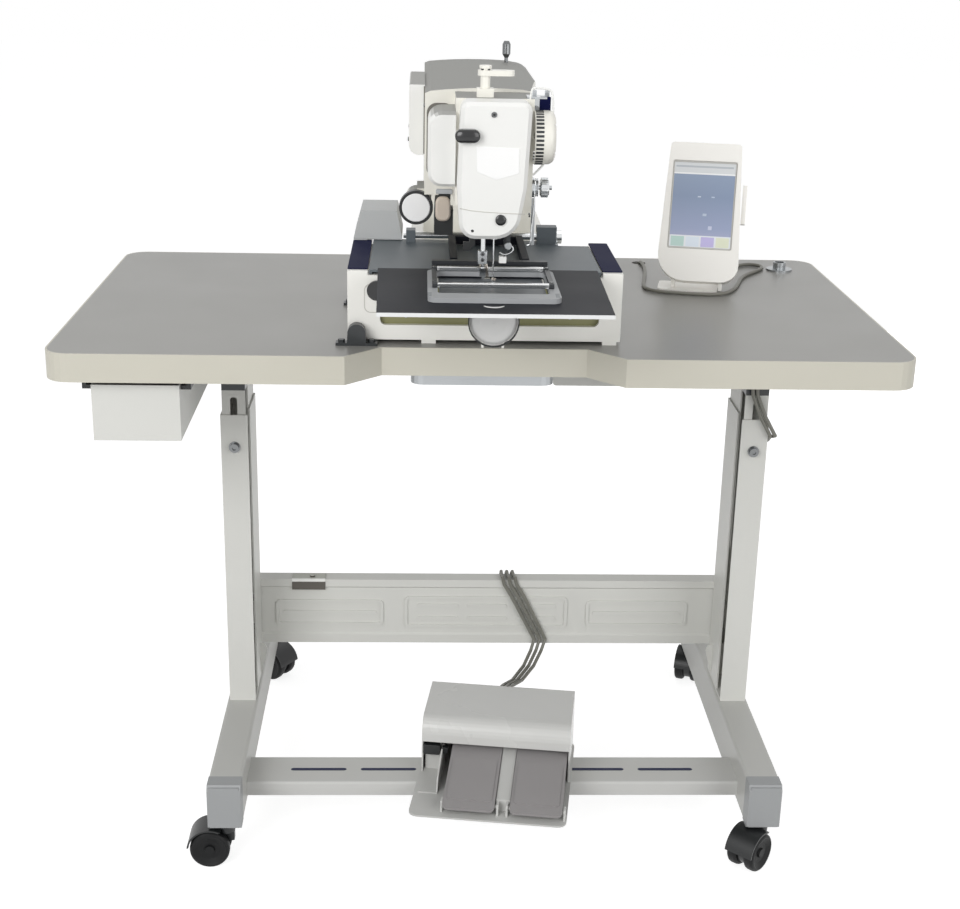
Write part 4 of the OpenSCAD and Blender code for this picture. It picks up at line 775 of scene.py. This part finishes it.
def screws(name, spots, body, metal="dark_chrome", height=0.5, socket=0.5):
    """Screws of one body. Each spot is a place, the direction that it faces and its radius."""
    mesh = bpy.data.meshes.new(name)
    mesh.from_pydata([tuple(place) for place, _, _ in spots], [], [])
    mesh.attributes.new("facing", "FLOAT_VECTOR", "POINT")
    mesh.attributes.new("size", "FLOAT", "POINT")
    for i, (_, facing_to, radius) in enumerate(spots):
        mesh.attributes["facing"].data[i].vector = facing_to
        mesh.attributes["size"].data[i].value = radius * MM
    settings = {"Height": height, "Socket": socket, "Metal": FINISHES[metal],
                "Shadow": FINISHES["glossy_black"]}
    return grown(name, screw_tree, mesh, settings, body)


FRONT, LEFT, RIGHT, UP = (0, -1, 0), (-1, 0, 0), (1, 0, 0), (0, 0, 1)
screws("head_screws", [(at(1.5, -33.3, 1129), FRONT, 3.7), (at(56.3, 62, 1120), RIGHT, 3.0),
                       (at(56.3, 62, 985), RIGHT, 3.0), (at(-86.4, 140, 1120), LEFT, 3.2),
                       (at(-108.4, 200, 1066), LEFT, 3.2), (at(-108.4, 345, 1066), LEFT, 3.2)], "head")
screws("bed_screws", [(at(x, 82.6, 838), FRONT, 3.4) for x in (-110, 120)], "head", metal="zinc")
print("screws placed")

# %% [markdown]
# ### Ribs in a ring and in a row
# The knurl of the thread tension knob is a ring of short ribs, and so are the dark ribs of
# painted shade in the slots of the take-up guard's rim. The grips on the work frame are rows.
# An array modifier could make them too, but a tree takes the count, the step and the rib's size
# as plain inputs.

# %% Rib trees
ring_tree, given, add = new_tree("rib_ring", Count="Int", Spacing="Float", Rib="Vector",
                                 Finish="Material")
circle = add("GeometryNodeMeshCircle", ("Vertices", given["Count"]), ("Radius", given["Spacing"]))
rib = add("GeometryNodeMeshCube", ("Size", given["Rib"]))
outwards = add("FunctionNodeAlignRotationToVector", ("Vector", add("GeometryNodeInputPosition")),
               axis="X", pivot_axis="Z")
ring = coated_copies(add, rib, circle, given["Finish"], ("Rotation", outwards))
add("NodeGroupOutput", ("Geometry", ring))

row_tree, given, add = new_tree("rib_row", Count="Int", Spacing="Vector", Rib="Vector",
                                Finish="Material")
line = add("GeometryNodeMeshLine", ("Count", given["Count"]), ("Offset", given["Spacing"]))
rib = add("GeometryNodeMeshCube", ("Size", given["Rib"]))
add("NodeGroupOutput", ("Geometry", coated_copies(add, rib, line, given["Finish"])))


def ribs(name, tree, count, spacing, rib_size, matrix, finish_name, body):
    """Ribs placed by a matrix, in millimetres. spacing is a ring's radius or a row's step, and
    rib_size is outwards, along the ring or row, and up."""
    spacing = [v * MM for v in spacing] if isinstance(spacing, tuple) else spacing * MM
    settings = {"Count": count, "Spacing": spacing, "Rib": [v * MM for v in rib_size],
                "Finish": FINISHES[finish_name]}
    return grown(name, tree, bpy.data.meshes.new(name), settings, body, matrix)


ALONG_X = Matrix.Rotation(radians(90), 4, "Y")
ribs("tension_knurl", ring_tree, 30, 12.5, (1.4, 1.2, 9),
     Matrix.Translation(at(74, 40, 1026)) @ ALONG_X, "chrome", "tension_knob_body")
print("ribs placed")

# %% [markdown]
# ## The head's covers
# The face cover is a plain moulded shell. It carries an empty badge, a seam line where the
# shell meets its lower lip, a plugged hole and a glossy catch. The seam is a real strip that
# catches the light and stays right from the side, in a greyish colour of painted shade. The
# dark outlines behind the side and left covers are painted shade in the gap round each cover,
# and they do most to make the shells look like separate parts.


# %% Badge, seam and painted reveal shade
FACE_FRONT = -33
face = facing_front(FACE_FRONT)
BADGE = [(-20.4, 1088.9), (34.5, 1087), (35.4, 1055.3), (6.2, 1046.6), (-19, 1056.5)]
plate("badge", BADGE, face, -0.4, 0.7, "badge_white", "head", bevel=0.3)
SEAM = [(-40.5, 1009.3), (-26, 1006.6), (-10, 1005.2), (12, 1004), (30, 1003.4), (44.3, 1002.9)]
tube("cover_seam", [at(x, FACE_FRONT - 0.2, z) for x, z in SEAM], 0.55, "seam_shadow", "head", sides=6)
domed("catch_dome", rounded(-47.6, -16.4, 1094.4, 1110.6, 8.1, 8), facing_front(-41.8), 4.2,
      "glossy_black", "head")
domed("plug_dome", round_outline(13, 995, 6.8), facing_front(-34.8), 1.6, "glossy_black", "head")
# A dark disc of painted shade where the face cover has a small hole.
turned("small_hole_shade", [(1.9, -0.3), (1.9, 0.25), (1.3, 0.3)], face, "glossy_black", "head",
       (-23.4, 980.2), 20)
# Dark outlines behind the side cover and the left cover: painted shade in the gaps round them.
plate("side_cover_reveal_shade", rounded(-83.4, -47, 1028.6, 1128.4, 13, 6), facing_front(95), -0.4, 1.4,
      "reveal_shade_dark", "head", bevel=0)
plate("left_cover_reveal_shade", rounded(-87.6, -85.7, 1049, 1142, 0.6, 2), facing_front(174.6), -0.4, 0.8,
      "reveal_shade_dark", "head", bevel=0)
print("face cover done")

# %% [markdown]
# ## Thread path
# The thread runs from the guide on top, over the take-up lever behind its guard, down to the
# tension discs and on to the needle. The guard is edged with a bent wire. On the real machine
# the wires are bent rod and the blocks are stamped, so here the wires are tubes along smooth
# routes and the blocks are plates.

# %% Take-up guard, guides and tension
GUARD_WIRE = [(50, 1143), (52, 1156), (58, 1158), (74, 1156), (79, 1148), (81, 1115), (80.5, 1087),
              (74, 1066), (60.5, 1049.7), (56, 1046)]
wire("guard_wire", [(x, 17, z) for x, z in GUARD_WIRE], 1.3, "white_plastic", "head", 4, 10)
plate("guide_patch", rounded(62.5, 77, 1127, 1147, 1.5), facing_front(19.7), 0, 1.6, "navy_paint",
      "head")
turned("guide_stud", [(4, 0), (4, 2.2), (3.2, 3)], facing_front(18.5), "dark_chrome", "head",
       (58.6, 1131), 24)
plate("guide_bracket", [(54, 1137), (77, 1137), (77, 1153), (70, 1153), (70, 1142), (60, 1142),
                        (60, 1153), (54, 1153)], facing_front(42), 0, 2, "ground_steel", "head",
      bevel=0.3)
wire("thread_wire", [(61, 30, 1036), (60.5, 30, 1010), (58, 30, 975), (57, 30, 953), (52, 31, 950)],
     0.9, "chrome", "head")
plate("guide_bar", rounded(57, 62, 949, 1012, 1.5), facing_front(38), 0, 5, "zinc", "head")
# Dark ribs in the guard's slots: painted shade in the openings.
ribs("guard_slot_shade", ring_tree, 40, 34.9, (1.2, 3.0, 10),
     Matrix.Translation(at(62.5, 20, 1095)) @ ALONG_X, "black_steel", "head")

# %% [markdown]
# ## The hand pulley and what hangs beside it
# The white face of the hand pulley has a dark rubber rim. Next to it hang a beige capsule and
# its dark bracket, in front of the arm's wall. The pulley is turned on a lathe, so its face is
# a turned profile. The rim is a ring of its own, because it is another material and turns
# with the knob.

# %% Hand pulley and capsule
knob = facing_front(105)
ring_plate("pulley_rim", round_outline(-97, 985, 23.4, 48), round_outline(-97, 985, 19.6, 48), knob,
           -13, 0.6, "black_plastic", "knob_body", bevel=0.5)
turned("pulley_face", [(19.4, -4), (19.4, 0.8), (18.6, 1.5), (2.5, 1.7)], knob, "pulley_white_painted_light",
       "knob_body", (-97, 985), 48)
plate("capsule", rounded(-70.5, -50, 971, 1004, 8.5, 8), facing_front(92), 0, 12, "beige_plastic",
      "head", bevel=2.6)
plate("capsule_bracket", [(-72, 950), (-46, 950), (-46, 985), (-50, 985), (-50, 1006), (-66, 1006),
                          (-71, 998), (-72, 980)], facing_front(128), 0, 36, "black_plastic", "head")
plate("capsule_lever", rounded(-70, -47, 1006, 1013, 2), facing_front(124), 0, 30, "zinc", "head")
print("thread and pulley done")

# %% [markdown]
# ## Needle area
# The presser foot hangs on a clamp block with two screws, beside the needle, and ends in a ring
# round it. A guide loop holds the thread at the needle clamp, and a wiper wire and its white
# block hang to the right. They could be one cluster, but each part rides with the bar that
# carries it, so that it moves up and down with it.

# %% Presser clamp, needle guide, wiper
plate("presser_clamp", rounded(-14.6, -2.4, 931, 949, 1.2), facing_front(1), 0, 9.4, "ground_steel",
      "presser_body", bevel=0.8)
plate("presser_toe", [(-13, 936), (-3, 936), (-1, 926), (0.2, 918), (0.2, 914), (-3.4, 914), (-7, 922),
                      (-13, 927)], facing_front(-1), 0, 5, "warm_chrome", "presser_body", bevel=0.5)
screws("presser_screws", [(at(-8.4, -8.8, 945), FRONT, 2.8), (at(-8.4, -8.8, 937), FRONT, 2.6)],
       "presser_body")
ring_plate("presser_ring", round_outline(6, -4, 4.5, 32), round_outline(6, -4, 1.7, 32), lying(909), 0,
           2.5, "warm_chrome", "presser_body", bevel=0.3)
wire("needle_guide", [(6, -8, 975), (9.5, -9, 974), (10.6, -5, 971.5), (6.4, -1, 970.5),
                      (2.4, -5, 974), (5, -9, 974)], 0.6, "chrome", "needle_bar_body", sides=6)
turned("wiper_disc", [(4.8, 0), (4.8, 2), (4.2, 2.6)], facing_front(-6), "zinc", "head", (25, 956), 24)
plate("wiper_arm", rounded(22, 28, 952, 1008, 2), facing_front(-4), -2.4, 0, "black_steel", "head")
wire("wiper_wire", [(14, -7, 947), (20, -7.4, 944.5), (27, -7, 946), (31.5, -6.4, 950),
                    (31, -5, 954), (27, -4, 956)], 1.0, "chrome", "head")
plate("wiper_block", rounded(14, 24, 930, 939, 1), facing_front(14), 0, 9, "white_plastic", "head")
plate("wiper_stem", rounded(20, 23, 938, 1008, 1), facing_front(10), 0, 3, "black_steel", "head")
plate("sensor_bracket", [(-34, 958), (-34, 946), (-24, 946), (-22, 950), (-18, 953), (-18, 1008),
                         (-26, 1008), (-26, 958)], facing_front(10), 0, 3, "black_plastic", "head")
print("needle area done")

# %% [markdown]
# ## Work frame and feed
# The black feed plate has a white inlay where the cloth is lined up. The lower work frame has
# rubber grip ribs in its corners, and screws hold the clamp's bright bars to its side arms.
# The inlay could be a mask in the plate's finish, but a thin plate keeps its curved edge sharp.

# %% Feed plate's inlay, grips and clamp screws
outer = [(2 + 14 * cos(radians(a)), -131 + 15 * sin(radians(a))) for a in range(200, 341, 10)]
inner = [(2 + 13 * cos(radians(a)), -131.5 + 9.5 * sin(radians(a))) for a in range(335, 204, -10)]
plate("feed_inlay", outer + inner, lying(905.5), -0.2, 0.35, "white_plastic", "x_feed", bevel=0)
for side, x in (("left", -78.5), ("right", 84.5)):
    ribs("grip_ribs_" + side, row_tree, 5, (0, -4.6, 0), (5, 2.2, 0.7),
         Matrix.Translation(at(x, -94, 912.1)), "grip_rubber", "x_feed")
screws("clamp_screws", [(at(x, back, 918.6), UP, 2.6) for x in (-72, 80) for back in (-58, 30)],
       "clamp")
print("feed done")

# %% [markdown]
# ## Bed and hook cover
# A raised outline runs round the plug on the bed's front, and the hook cover has a dark rim.
# Both could be bevels in the solids. As thin rings they take a darker finish: the hook rim is
# dark plastic, and the plug's outline is a ring of painted shade along its recess. That is how
# the eye finds them on a white casting.

# %% Bed and hook details
ring_plate("hook_rim", round_outline(6, 866, 33.8, 64), round_outline(6, 866, 32.2, 64),
           facing_front(-58), 0, 4.7, "black_plastic", "hook_cover_body")
# A thin ring of painted shade along the edge of the plug's recess.
ring_plate("plug_outline", rounded(-168, -132, 843, 884, 9, 6),
           rounded(-166.8, -133.2, 844.2, 882.8, 8, 6), facing_front(75), -0.2, 0.4, "seam_shadow",
           "head", bevel=0)
print("bed done")

# %% [markdown]
# ## Operation panel
# The panel's touch screen sits deep in the case under a dark gasket. It shows a soft gradient
# with a light title bar and four pale keys. The bar is lightened by a painted reflection, with a
# bright painted highlight line along its lower edge, and a few small pale marks are painted
# glints. The keys could be thin plates, but on a real screen they have no thickness. The
# material draws them from Object coordinates, turned into the panel's own axes by a Mapping node.

# %% Touch screen
SCREEN = (-48.5, 49.5, 37, 174)


def screen_finish():
    """Blue-grey glass, lilac low down, with a title bar lit by a painted reflection, four keys and a
    few painted glints.
    """
    FINISHES["touch_screen"], nodes, links = new_material("touch_screen")
    shader = nodes["Principled BSDF"]
    shader.inputs["Roughness"].default_value = 0.24
    shader.inputs["Coat Weight"].default_value = 0.5
    place = nodes.new("ShaderNodeTexCoord").outputs["Object"]
    to_panel = nodes.new("ShaderNodeMapping")
    inverse = panel_frame.inverted()
    to_panel.inputs["Location"].default_value = inverse.to_translation()
    to_panel.inputs["Rotation"].default_value = inverse.to_euler("XYZ")
    links.new(place, to_panel.inputs["Vector"])
    split = nodes.new("ShaderNodeSeparateXYZ")
    links.new(to_panel.outputs["Vector"], split.inputs[0])
    across, upwards = split.outputs["X"], split.outputs["Z"]
    height = ranged(nodes, links, upwards, SCREEN[2] * MM, SCREEN[3] * MM)
    ramp = nodes.new("ShaderNodeValToRGB")
    stops = ramp.color_ramp.elements
    stops[0].color = tone("#b4b4d2")
    stops[1].position, stops[1].color = 0.9, tone("#8d9db6")
    for position, code in ((0.22, "#98a3c2"), (0.6, "#8494b0")):
        stops.new(position).color = tone(code)
    links.new(height, ramp.inputs["Fac"])
    colour = ramp.outputs["Color"]

    def between(value, low, high):
        off = math_node(nodes, links, "SUBTRACT", value, (low + high) / 2 * MM)
        size = math_node(nodes, links, "ABSOLUTE", off)
        return math_node(nodes, links, "LESS_THAN", size, (high - low) / 2 * MM)

    def area(x0, x1, z0, z1):
        return math_node(nodes, links, "MULTIPLY", between(across, x0, x1), between(upwards, z0, z1))

    # The title bar's light band and the bright line at its lower edge are painted reflection.
    marks = [(area(-48.5, 49.5, 155, 175), "#d9dcde"), (area(-48.5, 49.5, 155, 157.5), "#f4f5f6"),
             (area(-46, 46, 166, 169), "#b9bec4"), (area(-48.5, 49.5, 36, 56), "#e9edf2")]
    for i, key in enumerate(("#bcd9d2", "#dfe9f4", "#c3bbe8", "#e4e8d0")):
        marks.append((area(-46 + i * 24, -25 + i * 24, 38, 54), key))
    # Four small pale marks: painted glints on the glass.
    marks += [(area(-8, -3, 118, 120), "#c3cddd"), (area(14, 19, 118, 120), "#b9c6da"),
              (area(2, 8, 88, 92), "#b7c3d6"), (area(12, 18, 66, 72), "#c6cce2")]
    for chosen, code in marks:
        colour = mixed(nodes, links, "RGBA", chosen, colour, tone(code))
    links.new(colour, shader.inputs["Base Color"])
    fine = noise(nodes, links, place, 2400, 1.0)
    bumped(nodes, links, shader, fine, 0.02, GRAIN_DEPTH / 2)


screen_finish()
recess = on_panel(3)
plate("touch_glass", rounded(*SCREEN, 1.5), recess, -0.3, 0.9, "touch_screen", "panel", bevel=0.2)
ring_plate("screen_gasket", rounded(-50.6, 51.6, 34.6, 176.4, 2.4),
           rounded(-48.3, 49.3, 37.2, 173.8, 1.6), recess, -0.3, 1.3, "gasket_grey", "panel")
print("touch screen done")

# %% [markdown]
# ## Pedal and stand hardware
# The pedal has a black switch block at its rear left and a few screws. The foot beam is a
# closed tube, so its slots look dark. A dark sheet of painted shade just below its top face
# gives that depth at once, where a real hollow would need many bounces of light.


# %% Pedal and stand
def switch_face(u, v, w):
    """Across, up and outwards from the plane behind the pedal's switch block."""
    return pedal(u, 8 - w, v)


plate("switch_block", rounded(-112, -86, 36, 52, 2.5), switch_face, 0, 12, "black_plastic", "stand")
plate("switch_plug", rounded(-83, -74, 38, 48, 1.5), switch_face, 0, 10, "black_plastic", "stand")
pedal_up = tuple(pedal_frame.to_3x3() @ Vector(UP))
screws("pedal_screws", [(at(57.6, 131.8, 104.5), pedal_up, 3), (at(54.4, 104.3, 104.5), pedal_up, 3)],
       "stand", metal="black_steel")
# A dark sheet of painted shade under the foot beam's slots.
plate("slot_shade_sheet", [(-310, 103.5), (368, 103.5), (368, 118.5), (-310, 118.5)], lying(97.2), 0, 2.2,
      "slot_shade_navy", "stand", bevel=0)
plate("winder_button", rounded(-14, -2, 30, 42, 3), lying(1178), 0, 5.6, "black_plastic", "head")
print("pedal and stand done")

# %% [markdown]
# ## Sizes and the end
# The dressed machine must stay in the box of the solid one, so the last line prints how far
# each corner of the dressed box lies from that of the solid one, in millimetres.

# %% Sizes and the end
dressed_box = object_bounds()
grown_by = [[round((a - b) / MM, 1) for a, b in zip(*pair)] for pair in zip(dressed_box, solid_box)]
print("dressed minus solid, in mm:", grown_by)
